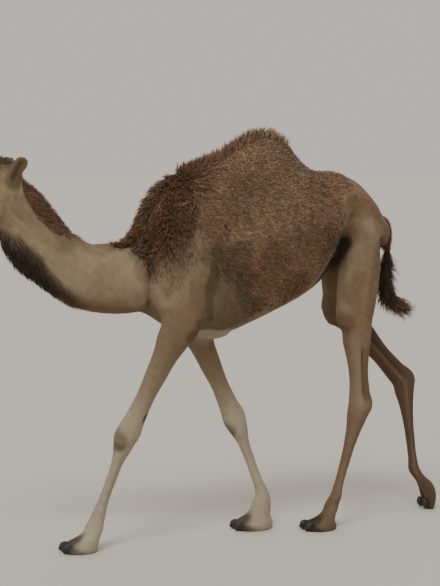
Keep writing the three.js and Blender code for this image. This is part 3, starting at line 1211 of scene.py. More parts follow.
def lid_shift(points: Array) -> Array:
    """Opening between the eyelids, and the lids' rolled rims.

    Args:
        points: Places in metres.

    Returns:
        The shift along the skin's outward direction, in metres.
    """
    forward, up, share = lid_places(points)
    beside = (np.abs(points[:, 1]) > 0.055) * (np.hypot(forward, up) < 60)
    rim = np.exp(-(((share - 1.34) / 0.36) ** 2)) * np.where(up > 0, 8.5, 6.5)
    crease = np.exp(-(((share - 2.25) / 0.2) ** 2)) * np.where(up > 0, -4.0, -2.4)
    return (rim + crease - 13.0 * smooth(1.04, 0.84, share)) * MM * beside


def cleft_shift(points: Array) -> Array:
    """Clefts between the toes.

    Args:
        points: Places in metres.

    Returns:
        The shift along the skin's outward direction, in metres, below nought.
    """
    shift = np.zeros(len(points))
    for leg in LEGS:
        across = np.abs(points[:, 1] - leg.foot_y * MM)
        if leg.leaving:
            ahead = smooth(1.31, 1.26, points[:, 0]) * smooth(0.13, 0.04, points[:, 2])
            ahead = ahead * (points[:, 0] > 1.2)
        else:
            front = leg.toe * MM
            ahead = smooth(front + 0.11, front + 0.03, points[:, 0]) * (points[:, 0] > front - 0.05)
            ahead = ahead * smooth(0.13, 0.08, points[:, 2])
        shift -= 0.016 * np.exp(-((across / 0.008) ** 2)) * ahead
    return shift


def coat_depth(points: Array, places: LegPlaces) -> Array:
    """Depth of the coat over the hide.

    Args:
        points: Places in metres.
        places: The same places on their legs.

    Returns:
        The depth in millimetres for each place.
    """
    depth = 7.0 - 3.0 * smooth(-0.26, -0.4, points[:, 0])
    for mask, deep in ((wool_mask, 15.0), (crest_mask, 22.0), (withers_mask, 26.0), (nape_mask, 22.0)):
        depth = depth + (deep - depth) * mask(points)
    depth = depth + (18.0 - depth) * throat_mask(points) * smooth(-0.5, -0.72, points[:, 0])
    depth = depth + (3.0 - depth) * places.near * smooth(1.0, 1.5, places.down)
    head = smooth(-0.84, -0.92, points[:, 0]) * smooth(1.42, 1.48, points[:, 2])
    depth = depth + (3.0 - depth) * head
    depth = depth + (3.0 - depth) * near_line(points, TAIL_LINE, 60)
    return depth * (1 - near_line(points, EAR_LINE, 66))


# ---- Where the coat changes ----


def near_line(
    points: Array, line: Rows, reach: float, ragged: float = 0.0, seed: int = 1, core: float = 0.45
) -> Array:
    """1 on a line, fading to 0 at its reach, the same on both sides of the animal.

    Args:
        points: Places in metres.
        line: Places along the line, in millimetres.
        reach: Distance in millimetres at which the value is nought.
        ragged: How far the edge wanders, as a share of the reach.
        seed: Chooses the wandering.
        core: Share of the reach within which the value is 1.

    Returns:
        A value from 0 to 1 for each place.
    """
    folded = points.copy()
    folded[:, 1] = np.abs(folded[:, 1])
    knots = np.array(line, dtype=float) * MM
    distance = np.full(len(points), 1e9)
    for start, end in zip(knots, knots[1:] if len(knots) > 1 else knots):
        distance = np.minimum(distance, from_segment(folded, start, end)[0])
    if ragged:
        distance = distance + reach * MM * ragged * ripple(points, 0.14, seed)
    return smooth(reach * MM, core * reach * MM, distance)


TAIL_END = ((957, 6, 1140), (970, 6, 1096), (1002, 6, 1056), (1036, 6, 1026))
TAIL_LINE = ((944, 0, 1444), (966, 0, 1320), (956, 5, 1190), *TAIL_END)
TUFT_LINE = ((962, 3, 1266), (956, 5, 1196), *TAIL_END)
EAR_LINE = ((-903, 84, 1650), (-888, 93, 1684), (-873, 100, 1714), (-861, 105, 1740), (-856, 108, 1760))
EAR_HOLLOW = ((-902, 102, 1662), (-884, 112, 1694), (-872, 116, 1720))
POLL_LINE = ((-985, 20, 1762), (-930, 24, 1755), (-886, 20, 1738))
# Upper edge of the throat's mane and lower edge of the nape's: x and height.
THROAT_TOP = (
    (-960, 1456),
    (-866, 1402),
    (-794, 1338),
    (-749, 1274),
    (-691, 1206),
    (-630, 1134),
    (-551, 1086),
    (-280, 1050),
)
NAPE_LOW = (
    (-900, 1710),
    (-856, 1660),
    (-850, 1606),
    (-835, 1563),
    (-813, 1528),
    (-783, 1490),
    (-738, 1452),
    (-693, 1420),
    (-560, 1400),
    (-420, 1410),
)


def height_at(points: Array, rows: Rows) -> Array:
    """Straight-line reading of a table of x and height in millimetres, in metres."""
    knots = np.array(rows, dtype=float) * MM
    return np.interp(points[:, 0], knots[:, 0], knots[:, 1])


def wool_mask(points: Array) -> Array:
    """Where the curly fleece grows: hump, back, croup and barrel.

    Its front and rear edges are x by height, and its lower edge is height by x.

    Args:
        points: Places in metres.

    Returns:
        A value from 0 to 1 for each place.
    """
    x = points[:, 0] + 0.016 * ripple(points, 0.16, 3)
    z = points[:, 2] + 0.016 * ripple(points, 0.16, 4)
    front = np.interp(
        z,
        (1.02, 1.12, 1.22, 1.31, 1.42, 1.5, 1.6),
        (0.1, 0.08, 0.0, -0.03, -0.08, -0.14, -0.2),
    )
    rear = np.interp(
        z,
        (1.17, 1.21, 1.27, 1.335, 1.39, 1.47, 1.58, 1.66, 1.72),
        (0.5, 0.53, 0.58, 0.62, 0.65, 0.67, 0.66, 0.74, 0.72),
    )
    low = height_at(points, ((60, 1010), (240, 1040), (420, 1090), (520, 1150), (700, 1200)))
    inside = smooth(-0.05, 0.08, x - front) * smooth(-0.02, 0.075, rear - x) * smooth(-0.02, 0.06, z - low)
    return inside * (1 - leg_side(points))


def leg_side(points: Array) -> Array:
    """1 on the legs' own skin below the trunk, where no fleece grows."""
    return smooth(1.14, 1.08, points[:, 2]) * smooth(0.55, 0.6, points[:, 0])


def crest_mask(points: Array) -> Array:
    """The standing hair along the hump's front slope and top."""
    line = ((-60, 0, 1716), (60, 0, 1772), (150, 0, 1822), (230, 0, 1868), (320, 0, 1880), (400, 0, 1858))
    return near_line(points, line, 74, 0.1, 6)


def withers_mask(points: Array) -> Array:
    """The dark shaggy patch over the withers and down in front of the shoulder.

    Args:
        points: Places in metres.

    Returns:
        A value from 0 to 1 for each place.
    """
    side = ((-50, 50, 1712), (-130, 80, 1640), (-190, 110, 1540), (-236, 130, 1440), (-290, 130, 1370))
    middle = ((-60, 0, 1712), (-180, 0, 1650), (-270, 10, 1560), (-340, 20, 1440), (-376, 20, 1400))
    bulge = near_line(points, ((-150, 150, 1480), (-190, 160, 1430)), 96, 0.14, 5, 0.2)
    wide = np.maximum(near_line(points, side, 132, 0.2, 5, 0.1), near_line(points, middle, 84, 0.1, 6))
    return np.maximum(wide, bulge)


def throat_mask(points: Array) -> Array:
    """The dark mane under the neck, thinning towards the breast.

    Args:
        points: Places in metres.

    Returns:
        A value from 0 to 1 for each place.
    """
    over = points[:, 2] + 0.012 * ripple(points, 0.1, 7) - height_at(points, THROAT_TOP)
    head = smooth(1.47, 1.42, points[:, 2] + 0.2 * (points[:, 0] + 0.95))
    clear_of_leg = smooth(-0.26, -0.36, points[:, 0]) * smooth(0.99, 1.03, points[:, 2])
    return smooth(0.016, -0.06, over) * clear_of_leg * head


def nape_mask(points: Array) -> Array:
    """The red-brown mane behind the poll and down the upper edge of the neck.

    Args:
        points: Places in metres.

    Returns:
        A value from 0 to 1 for each place.
    """
    over = points[:, 2] + 0.01 * ripple(points, 0.09, 9) - height_at(points, NAPE_LOW)
    ear = near_line(points, ((-914, 74, 1606), *EAR_LINE), 56)
    ends = smooth(-0.93, -0.88, points[:, 0]), smooth(-0.44, -0.66, points[:, 0])
    return smooth(-0.012, 0.02, over) * ends[0] * ends[1] * (1 - ear)


# Colours of the coat. Black, mane, olive and brown also paint shade into creases, grooves and hollows; far
# paints the far hind leg darker as painted shade, and tan also paints a highlight on that leg.
COAT = {
    "tan": "#78654f",
    "pale": "#8f8069",
    "wool": "#93775e",
    "brown": "#67523e",
    "dark": "#664734",
    "nape": "#875843",
    "red": "#745440",
    "cream": "#a39a84",
    "olive": "#4b4534",
    "horn": "#544a37",
    "soot": "#27221c",
    # far: the far hind leg's colour, darkened as painted shade.
    "far": "#523e31",
    "ear": "#66573f",
    "lip": "#6d5e50",
    "black": "#211a15",
    "mane": "#3f3328",
}


@dataclass(frozen=True)
class Mark:
    """A patch of one colour round a line, the same on both sides.

    Attributes:
        colour: Name of the colour in COAT.
        line: Places along the line, in millimetres.
        reach: Distance at which the colour is gone, in millimetres.
        strength: Share of the colour on the line itself.
        ragged: How far the edge wanders, as a share of the reach.
    """

    colour: str
    line: Rows
    reach: float
    strength: float
    ragged: float = 0.12


BODY_MARKS = (
    Mark("pale", ((-900, 70, 1560), (-700, 80, 1330), (-480, 110, 1240), (-330, 140, 1200)), 170, 0.85),
    Mark("brown", ((-360, 50, 1400), (-500, 50, 1380), (-660, 50, 1420)), 76, 0.5, 0.3),
    Mark("brown", ((-700, 20, 1150), (-560, 20, 1072), (-420, 20, 1046), (-300, 20, 1046)), 84, 0.75, 0.1),
    Mark("tan", ((-860, 80, 1560), (-760, 86, 1430), (-680, 88, 1380)), 60, 0.5, 0.3),
    Mark("pale", ((-90, 190, 1410), (-150, 200, 1330), (-220, 210, 1180)), 130, 0.45),
    Mark("brown", ((-300, 150, 1360), (-310, 150, 1250)), 70, 0.6),
    Mark("brown", ((-20, 215, 1420), (-60, 200, 1500)), 70, 0.5),
    Mark("red", ((-19, 192, 1430), (19, 219, 1341)), 60, 0.4),
    Mark("pale", ((742, 205, 1420), (690, 205, 1250), (660, 205, 1120)), 120, 0.3),
    Mark("red", ((600, 60, 1700), (720, 150, 1640), (850, 140, 1520), (925, 90, 1440)), 84, 0.55),
    Mark("pale", ((793, 175, 1440), (847, 154, 1392)), 70, 0.35),
    # Painted shade: a brown line along the groove between the thigh's muscles.
    Mark("brown", ((840, 150, 1330), (800, 190, 1180), (790, 190, 1020)), 60, 0.45),
    Mark("brown", ((700, 60, 1680), (800, 70, 1610), (880, 70, 1520), (930, 50, 1450)), 60, 0.75, 0.2),
    Mark("brown", ((690, 198, 1540), (720, 205, 1400)), 60, 0.4, 0.25),
    Mark("tan", ((60, 60, 1500), (-500, 90, 1250)), 60, 0.2, 0.4),
)
WOOL_MARKS = (
    Mark("red", ((130, 150, 1600), (10, 180, 1440)), 110, 0.3, 0.3),
    Mark("red", ((237, 257, 1248), (347, 234, 1176), (434, 180, 1122), (500, 160, 1160)), 130, 0.6, 0.2),
    Mark("pale", ((391, 76, 1789), (469, 73, 1720), (500, 60, 1716)), 80, 0.3, 0.3),
    Mark("tan", ((391, 76, 1800), (300, 110, 1700), (150, 190, 1500)), 110, 0.35, 0.3),
    Mark("pale", ((120, 240, 1380), (240, 262, 1440)), 90, 0.25, 0.3),
    Mark("brown", ((545, 41, 1697), (520, 150, 1640), (500, 220, 1500), (560, 200, 1400)), 80, 0.32, 0.35),
    Mark("brown", ((300, 250, 1330), (450, 250, 1380), (560, 220, 1330)), 110, 0.5, 0.3),
)
DETAIL_MARKS = (
    Mark("wool", ((-378, 8, 1400), (-340, 12, 1446), (-268, 8, 1566), (-196, 4, 1646)), 48, 0.6, 0.1),
    Mark("brown", ((-150, 180, 1400), (-240, 190, 1250)), 130, 0.55, 0.4),
    Mark("brown", ((700, 196, 1180), (676, 190, 1120), (690, 190, 1040)), 64, 0.5, 0.3),
    # Painted shade: dark olive in the hollow behind the elbow.
    Mark("olive", ((40, 224, 1250), (80, 226, 1170), (90, 196, 1070), (30, 170, 1020)), 140, 0.62, 0.35),
    # Painted shade: a dark line in the crease behind the upper arm.
    Mark("black", ((-10, 210, 1250), (-30, 190, 1140), (-20, 160, 1040)), 30, 0.4),
    Mark("red", ((-700, 30, 1140), (-610, 30, 1086), (-520, 30, 1060), (-420, 30, 1050)), 50, 0.6, 0.1),
    Mark("cream", ((-60, 60, 960), (44, 72, 940), (150, 40, 940)), 70, 0.75),
    # Painted shade: a dark line in the crease in front of the shoulder.
    Mark(
        "mane",
        ((-300, 144, 1290), (-300, 142, 1233), (-296, 126, 1165), (-284, 84, 1093)),
        15,
        0.6,
        0.05,
    ),
    # Painted shade: the next three dark lines lie in the crease between flank and thigh.
    Mark("black", ((692, 192, 1460), (684, 178, 1410), (676, 160, 1370)), 22, 0.75, 0.05),
    Mark("mane", ((666, 134, 1350), (644, 122, 1310), (612, 118, 1240), (582, 104, 1180)), 58, 0.9, 0.05),
    Mark("black", ((676, 140, 1362), (652, 124, 1320), (628, 118, 1276)), 42, 0.75, 0.05),
    Mark("ear", EAR_LINE, 48, 0.9),
    # Painted shade: black in the hollow of the ear.
    Mark("black", EAR_HOLLOW, 17, 0.7, 0),
    Mark("cream", ((-872, 84, 1680), (-850, 92, 1716), (-842, 100, 1742)), 14, 0.5, 0),
    Mark("lip", ((-1340, 0, 1590), (-1290, 30, 1570), (-1260, 40, 1545)), 50, 0.6),
    Mark("soot", ((-1084, 92, 1678), (-1064, 98, 1682), (-1044, 96, 1686)), 15, 0.8, 0),
    # Painted shade: black in the slit of the nostril.
    Mark("black", NOSTRIL, 9, 0.95, 0),
    Mark("pale", ((-1120, 74, 1720), (-1064, 90, 1712), (-1010, 80, 1710)), 24, 0.4),
    Mark("red", TAIL_LINE[:2], 60, 0.8),
    Mark("dark", TAIL_LINE[1:3], 60, 0.9),
    Mark("mane", TUFT_LINE, 60, 0.9, 0),
    Mark("dark", ((1002, 6, 1056), (1060, 6, 1020)), 60, 0.7, 0),
)


def markings(points: Array, places: LegPlaces) -> Array:
    """The coat's colour at each place, for the hide and for the locks rooted on it.

    Each marking is laid over those before it by its own mask. Painted shade lies among them in creases,
    grooves, hollows, the nostrils and the mouth, with a painted highlight on the far hind leg.

    Args:
        points: Places on the hide, in metres.
        places: The same places on their legs.

    Returns:
        Linear colours, one row for each place.
    """
    leg, down = places.near, places.down

    def spot(centre: float, turn: float, along: float, round_: float) -> Array:
        """An oval spot on the legs: place and angle of its middle, and its half sizes."""
        off = (places.turn - turn + 180) % 360 - 180
        return leg * smooth(1.0, 0.55, np.hypot((down - centre) / along, off / round_))

    front = smooth(60, 130, np.abs(places.turn))
    outside = np.exp(-(((places.turn - 90) / 50) ** 2))
    colour = np.tile(srgb(COAT["tan"]), (len(points), 1))

    def lay(name: str, mask: Array) -> None:
        """Lay one named colour over the coat by a mask."""
        nonlocal colour
        colour = colour + (srgb(COAT[name]) - colour) * np.clip(mask, 0, 1)[:, None]

    def lay_all(marks: Sequence[Mark], share: Array | float) -> None:
        """Lay a table of marks, all times one share."""
        for number, mark in enumerate(marks):
            mask = near_line(points, mark.line, mark.reach, mark.ragged, 40 + number)
            lay(mark.colour, mask * mark.strength * share)

    lay_all(BODY_MARKS, 1.0)
    wool = wool_mask(points)
    lay("wool", wool * 0.95)
    lay_all(WOOL_MARKS, wool)
    lay("dark", crest_mask(points) * smooth(0.36, 0.2, points[:, 0]) * 0.75)
    lay("dark", withers_mask(points) * 0.92)
    lay("mane", throat_mask(points) * (0.25 + 0.7 * smooth(-0.52, -0.76, points[:, 0])))
    lay("nape", nape_mask(points) * 0.95)
    lay("tan", nape_mask(points) * smooth(0.08, 0.035, np.abs(points[:, 1])) * 0.6)
    lay("brown", near_line(points, POLL_LINE, 70, 0.15, 10) * 0.8)
    # Legs: warm brown above, cream at the knees, brown again behind.
    lay("pale", leg * places.fore * smooth(1.1, 1.6, down) * 0.7)
    lay("cream", leg * places.fore * smooth(1.5, 2.1, down) * 0.85)
    hind = leg * ~places.fore
    near_hind, far_hind = hind * (places.index == 2), hind * (places.index == 3)
    lay("pale", near_hind * smooth(1.0, 1.4, down) * outside * 0.8)
    gaskin = smooth(1.2, 1.4, down) * smooth(2.02, 1.9, down)
    lay("brown", near_hind * gaskin * smooth(80, 60, np.abs(places.turn)) * 0.85)
    # Painted shade: dark lines in the grooves in front of the near hind leg's hamstring tendon.
    lay("mane", near_hind * gaskin * np.exp(-(((np.abs(places.turn) - 76) / 10) ** 2)) * 0.8)
    stifle = near_hind * smooth(0.9, 1.0, down) * smooth(1.5, 1.1, down)
    lay("olive", stifle * smooth(130, 160, places.turn) * 0.5)
    lay("brown", near_hind * smooth(1.9, 2.15, down) * 0.62)
    # Painted shade: the far hind leg darker than the near one.
    lay("far", far_hind * smooth(0.9, 1.1, down) * 0.85)
    # Painted highlight: a pale stripe down the inside of the far hind leg.
    lay("tan", far_hind * smooth(1.05, 1.3, down) * np.exp(-(((places.turn + 104) / 13) ** 2)) * 0.65)
    # Painted shade: a dark line in the groove in front of the far hind leg's hamstring tendon.
    lay("mane", far_hind * gaskin * np.exp(-(((places.turn + 74) / 12) ** 2)) * 0.6)
    lay("horn", spot(2.08, 160, 0.16, 96) * places.fore * 0.6)
    lay("brown", spot(2.13, 156, 0.05, 80) * places.fore * 0.85)
    lay("soot", spot(1.8, 40, 0.05, 26) * places.fore * 0.8)
    lay("soot", spot(1.05, 30, 0.08, 40) * places.fore * 0.5)
    lay("brown", spot(1.02, 150, 0.09, 40) * ~places.fore * 0.8)
    lay("olive", hind * smooth(3.3, 3.7, down) * 0.5)
    lay("soot", leg * smooth(3.5, 3.75, down) * smooth(112, 150, np.abs(places.turn)) * 0.85)
    lay("soot", leg * smooth(3.9, 3.97, down) * front * 0.6)
    lay_all(DETAIL_MARKS, 1.0)
    # Painted shade: a dark line along the crease of the mouth.
    lay("mane", near_line(points * [1, 0, 1], MOUTH, 6) * 0.6)
    thigh = 0.35 * smooth(1.5, 1.1, down) * (points[:, 2] > 1.0)
    fleecy = np.clip(wool + withers_mask(points) + thigh, 0, 1)
    speckle = ripple(points, 0.034, 23) * 0.16 + ripple(points, 0.017, 24) * 0.12
    shade = 1 + 0.07 * ripple(points, 0.22, 21) + 0.05 * ripple(points, 0.05, 22) + fleecy * speckle
    return np.clip(colour * shade[:, None], 0.002, 1.0)


# ---- Locks of hair ----


def lie_of_coat(points: Array, normals: Array) -> Array:
    """Direction in which the hair lies, along the skin.

    Each stretch of the body has its own direction, and a place takes their mean
    weighed by the inverse fourth power of its distance from each.

    Args:
        points: Places in metres.
        normals: Outward directions there.

    Returns:
        One direction of length one for each place.
    """
    stretches = [
        (((-1330, 0, 1590), (-1100, 0, 1640)), (0.9, 0, 0.4)),
        (((-1100, 0, 1640), (-900, 0, 1620)), (1.0, 0, -0.2)),
        (((-880, 0, 1560), (-700, 0, 1320)), (0.45, 0, -0.9)),
        (((-700, 0, 1320), (-480, 0, 1220)), (0.8, 0, -0.6)),
        (((-480, 0, 1220), (-250, 0, 1240)), (0.8, 0, -0.6)),
        (((-250, 0, 1400), (0, 0, 1400)), (0.45, 0, -0.9)),
        (((100, 0, 1400), (600, 0, 1450)), (0.8, 0, -0.55)),
        (((-390, 0, 1400), (-200, 0, 1650)), (-0.35, 0, -1.0)),
        (((-390, 110, 1400), (-200, 110, 1620)), (-0.1, 0.25, -1.0)),
        (((-390, -110, 1400), (-200, -110, 1620)), (-0.1, -0.25, -1.0)),
        (((-100, 0, 1760), (300, 0, 1800)), (0.9, 0, 0.1)),
        (((400, 0, 1800), (600, 0, 1720)), (0.8, 0, -0.6)),
        (((650, 0, 1500), (900, 0, 1450)), (0.5, 0, -0.85)),
        (((960, 0, 1400), (950, 0, 1150)), (0, 0, -1.0)),
    ]
    total = np.zeros_like(points)
    for line, way in stretches:
        start, end = np.array(line, dtype=float) * MM
        distance, _ = from_segment(points, start, end)
        total += unit(np.array(way)) / np.maximum(distance, 0.02)[:, None] ** 4
    for leg in LEGS:
        path = leg.path()
        for start, end in zip(path, path[1:]):
            distance, _ = from_segment(points, start, end)
            total += unit(end - start) / np.maximum(distance, 0.02)[:, None] ** 4
    total = unit(total)
    total -= normals * np.sum(total * normals, axis=1, keepdims=True)
    return unit(total)


@dataclass(frozen=True)
class Lock:
    """One kind of lock: a closed blade with a three-cornered section.

    Attributes:
        length: Length in millimetres.
        width: Half width at its widest, in millimetres.
        lift: Angle at which it leaves the skin, in degrees.
        settle: Share of that angle lost by the tip, above 1 to bend back down.
        curl: Sideways bend, as a share of the length.
        jitter: How far directions scatter, as a share of the lie itself.
        steps: Rings along the blade before its tip.
        tip_light: How much lighter the tip is than the root.
        scatter: How far one lock's brightness differs from the next's.
        clump: Size of the clumps that tips draw together into, in millimetres.
        gather: Share of the way to its clump's middle that a tip is drawn.
        droop: How far the tip turns to hang straight down.
    """

    length: float
    width: float
    lift: float
    settle: float = 0.8
    curl: float = 0.0
    jitter: float = 0.25
    steps: int = 2
    tip_light: float = 0.25
    scatter: float = 0.12
    clump: float = 20.0
    gather: float = 0.0
    droop: float = 0.0

    def triangles(self) -> Array:
        """Corners of one blade's triangles: its sides, tip and closed root.

        Returns:
            Three corners for each triangle, by number.
        """
        faces = [(0, 2, 1)]
        for ring in range(self.steps - 1):
            a, b = 3 * ring, 3 * ring + 3
            for k in range(3):
                n = (k + 1) % 3
                faces += [(a + k, a + n, b + n), (a + k, b + n, b + k)]
        top, tip = 3 * (self.steps - 1), 3 * self.steps
        faces += [(top + k, top + (k + 1) % 3, tip) for k in range(3)]
        return np.array(faces)

    def clumps(self, roots: Array) -> tuple[Array, Array]:
        """Way to the middle of each root's clump, and a number from 0 to 1 for the clump.

        Clumps are the cells of a grid whose lines wander by a few slow waves.

        Args:
            roots: Where the locks are rooted.

        Returns:
            The ways and the numbers, one of each for every root.
        """
        cell = self.clump * MM
        drift = np.stack([ripple(roots, cell * 5, 70 + k) for k in range(3)], axis=1)
        spot = roots / cell + drift * 0.6
        home = np.floor(spot)
        number = np.sin(home @ np.array([12.9898, 78.233, 37.719])) * 43758.5453
        return (home + 0.5 - spot) * cell, number - np.floor(number)

    def blades(
        self, roots: Array, normals: Array, lies: Array, size: Array, rng: np.random.Generator
    ) -> Array:
        """Places of every blade's corners.

        A blade's middle line starts at its root. It goes on in steps along the lie
        and outwards by its lift, and bends sideways by a sine of the share of its
        length. Its half width is the width times (1 - t)^0.6 (0.6 + 0.9 t).

        Args:
            roots: Where the locks are rooted.
            normals: Outward directions there.
            lies: Directions of the coat there.
            size: Scale of each lock.
            rng: Source of chance.

        Returns:
            A table of locks, corners and x, y, z.
        """
        count = len(roots)
        side = np.cross(normals, lies)
        swing = rng.normal(0, self.jitter, (count, 1))
        way = unit(lies + side * swing)
        side = np.cross(normals, way)
        long = (self.length * MM * size * rng.uniform(0.7, 1.3, count))[:, None]
        lift = np.radians(self.lift * rng.uniform(0.6, 1.4, count))[:, None]
        bend = rng.uniform(-1, 1, (count, 1)) * self.curl
        pull = self.clumps(roots)[0]
        pull = (pull - normals * np.sum(pull * normals, axis=1, keepdims=True)) * self.gather
        fall = np.array([0.0, 0.0, -1.0]) * self.droop
        middle = roots - normals * 0.0025
        corners = []
        for step in range(self.steps + 1):
            t = step / self.steps
            angle = lift * (1 - self.settle * max(t - 0.5 / self.steps, 0.0))
            heading = unit(way * np.cos(angle) + normals * np.sin(angle) + fall * t)
            if step:
                middle = middle + heading * long / self.steps + pull / self.steps
                middle = middle + side * bend * long * math.cos(2.6 * t) * 0.8 / self.steps
            if step == self.steps:
                corners.append(middle)
                break
            half = self.width * MM * (1 - t) ** 0.6 * (0.6 + 0.9 * t) * size[:, None]
            over = np.cross(heading, side)
            corners += [middle - side * half, middle + side * half, middle - over * half * 0.55]
        return np.stack(corners, axis=1)


class Coat:
    """Plants locks of hair on the hide and makes them into pieces."""

    LARGEST = 195_000  # triangles in a piece

    def __init__(self, hide: Hide) -> None:
        """Read the hide's triangles, directions, colours and unwrap.

        Args:
            hide: The finished hide.
        """
        mesh = hide.object.data
        mesh.calc_loop_triangles()
        count = len(mesh.loop_triangles)
        corners, loops = np.empty(count * 3, dtype=np.int32), np.empty(count * 3, dtype=np.int32)
        mesh.loop_triangles.foreach_get("vertices", corners)
        mesh.loop_triangles.foreach_get("loops", loops)
        self.triangles, self.loops = corners.reshape(-1, 3), loops.reshape(-1, 3)
        self.points, self.normals = hide.points, hide.normals
        a, b, c = (self.points[self.triangles[:, k]] for k in range(3))
        self.areas = np.linalg.norm(np.cross(b - a, c - a), axis=1) / 2
        self.centres = (a + b + c) / 3
        flat = np.empty(len(mesh.loops) * 2, dtype=np.float32)
        mesh.uv_layers["OFBake"].data.foreach_get("uv", flat)
        self.unwrap = flat.reshape(-1, 2)

    def plant(self, name: str, growth: "Growth", where: Mask, seed: int) -> bpy.types.Object | None:
        """Plant one piece of the coat.

        Args:
            name: The piece's name.
            growth: What grows.
            where: Mask of the places that carry this piece.
            seed: Seed of chance.

        Returns:
            The new object, or None where nothing grows.
        """
        lock, way, size = growth.lock, growth.way, growth.size
        rng = np.random.default_rng(seed)
        weight = self.areas * where(self.centres)
        template = lock.triangles()
        number = int(min(weight.sum() * 1e4 * growth.per_cm2, self.LARGEST / len(template)))
        if number < 1:
            return None
        picks = rng.choice(len(weight), number, p=weight / weight.sum())
        shares = rng.dirichlet((1, 1, 1), number)
        roots = np.einsum("nk,nkd->nd", shares, self.points[self.triangles[picks]])
        normals = unit(np.einsum("nk,nkd->nd", shares, self.normals[self.triangles[picks]]))
        uv = np.einsum("nk,nkd->nd", shares, self.unwrap[self.loops[picks]])
        lies = lie_of_coat(roots, normals)
        if way is not None:
            lies = way(roots, normals)
            lies = unit(lies - normals * np.sum(lies * normals, axis=1, keepdims=True))
        scale = size(roots) if size is not None else np.ones(number)
        blades = lock.blades(roots, normals, lies, scale, rng)
        corners = blades.shape[1]
        shift = np.arange(number)[:, None, None] * corners
        thing = triangle_object(name, blades.reshape(-1, 3), (template[None] + shift).reshape(-1, 3))
        # The locks take the hide's colours here, painted shade and highlight included.
        base = markings(roots, leg_places(roots))
        base = base * (1 + rng.normal(0, lock.scatter, (number, 1)))
        base = base * (1 + lock.scatter * 1.4 * (lock.clumps(roots)[1][:, None] - 0.5))
        along = np.minimum(np.arange(corners) // 3, lock.steps) / lock.steps
        light = (1 - lock.tip_light * 0.5) + lock.tip_light * along * 1.4
        colours = np.clip(base[:, None] * light[None, :, None], 0.001, 1.0)
        paint(thing.data, colours.reshape(-1, 3))
        self.map_patches(thing.data, uv, corners)
        dress(thing, FINISHES["hair"])
        LOG.info("%s: %d locks, %d triangles", name, number, number * len(template))
        return thing

    def map_patches(self, mesh: bpy.types.Mesh, uv: Array, corners: int) -> None:
        """Give each lock a small patch of the unwrap at its root's place.

        Args:
            mesh: The piece's mesh.
            uv: The root's place on the hide's unwrap, one row for each lock.
            corners: Corners of one lock.
        """
        patch = 0.003
        spot = np.arange(corners)
        across, along = (spot % 3) / 2 - 0.5, (spot // 3) / max(corners // 3, 1) - 0.5
        spread = np.stack([across, along], axis=1) * patch
        by_corner = (np.clip(uv, patch, 1 - patch)[:, None] + spread[None]).reshape(-1, 2)
        layer = mesh.uv_layers.new(name="OFBake")
        index = np.empty(len(mesh.loops), dtype=np.int32)
        mesh.loops.foreach_get("vertex_index", index)
        layer.data.foreach_set("uv", by_corner[index].astype(np.float32).ravel())


FINISHES: dict[str, bpy.types.Material] = {}


def unwrap_hide(thing: bpy.types.Object) -> None:
    """Unwrap the hide by its own shape into the map that colours are baked on.

    Args:
        thing: The hide's object.
    """
    thing.data.uv_layers.new(name="OFBake")
    bpy.context.view_layer.objects.active = thing
    thing.select_set(True)
    bpy.ops.object.mode_set(mode="EDIT")
    bpy.ops.mesh.select_all(action="SELECT")
    bpy.ops.uv.smart_project(angle_limit=math.radians(66), island_margin=0.002)
    bpy.ops.object.mode_set(mode="OBJECT")
    thing.select_set(False)


# ---- Eyes and nails ----


@dataclass(frozen=True)
class Glossy:
    """A smooth, dense finish: wet eye or polished horn.

    Attributes:
        name: The finish's name.
        roughness: Near 0 where wet, higher where worn.
        coat: Weight of the clear layer on top.
        ior: Refractive index.
    """

    name: str
    roughness: float
    coat: float
    ior: float

    def material(self) -> bpy.types.Material:
        """Build the shader: markings under a clear wet or worn layer.

        Returns:
            The new material.
        """
        material = empty_material(self.name)
        tree = material.node_tree
        marks = add_node(tree, "ShaderNodeVertexColor", {"layer_name": "Marking"}, {})
        place = add_node(tree, "ShaderNodeTexCoord", {}, {})
        grain = add_node(
            tree,
            "ShaderNodeTexNoise",
            {"Scale": 220.0, "Detail": 3.0},
            {"Vector": place.outputs["Object"]},
        )
        bump = add_node(
            tree,
            "ShaderNodeBump",
            {"Strength": 0.3, "Distance": 0.0004},
            {"Height": grain.outputs["Fac"]},
        )
        shader = add_node(
            tree,
            "ShaderNodeBsdfPrincipled",
            {
                "Roughness": self.roughness,
                "IOR": self.ior,
                "Coat Weight": self.coat,
                "Coat Roughness": 0.04,
            },
            {"Base Color": marks.outputs["Color"], "Normal": bump.outputs["Normal"]},
        )
        add_node(tree, "ShaderNodeOutputMaterial", {}, {"Surface": shader.outputs["BSDF"]})
        return material


def side_name(side: int) -> str:
    """Name of the side: -1 is the animal's left."""
    return dict(SIDES)[side]


@dataclass(frozen=True)
class Eye:
    """One eyeball: a globe with a bulging cornea, brown iris and wide pupil.

    Attributes:
        side: -1 on the animal's left, 1 on its right.
        at: Middle of the right eye, in millimetres.
        radius: Its radius in millimetres.
    """

    side: int
    at: Sequence[float] = EYE_AT
    radius: float = EYE_RADIUS

    def build(self) -> bpy.types.Object:
        """Make the globe: radius times the unit sphere, bulged towards its front.

        Returns:
            The eye's object.
        """
        around, along = 48, 32
        globe = ball((0, 0, 0), (1, 1, 1), around, along)
        axis = unit(np.array([-0.28, 0.95 * self.side, 0.05]))
        facing = globe.points @ axis
        bulge = 1 + 0.06 * smooth(0.72, 0.95, facing)
        middle = np.array(self.at) * [1, self.side, 1] * MM
        points = middle + globe.points * bulge[:, None] * self.radius * MM
        thing = mesh_object(f"eye_{side_name(self.side)}_ball", points, globe.faces)
        brown, pupil, rim = srgb("#2c1b10"), srgb("#0b0705"), srgb("#4a3a2c")
        iris = brown + (pupil - brown) * smooth(0.86, 0.93, facing)[:, None]
        paint(thing.data, iris + (rim - iris) * smooth(0.74, 0.66, facing)[:, None])
        dress(thing, FINISHES["eye"])
        return thing


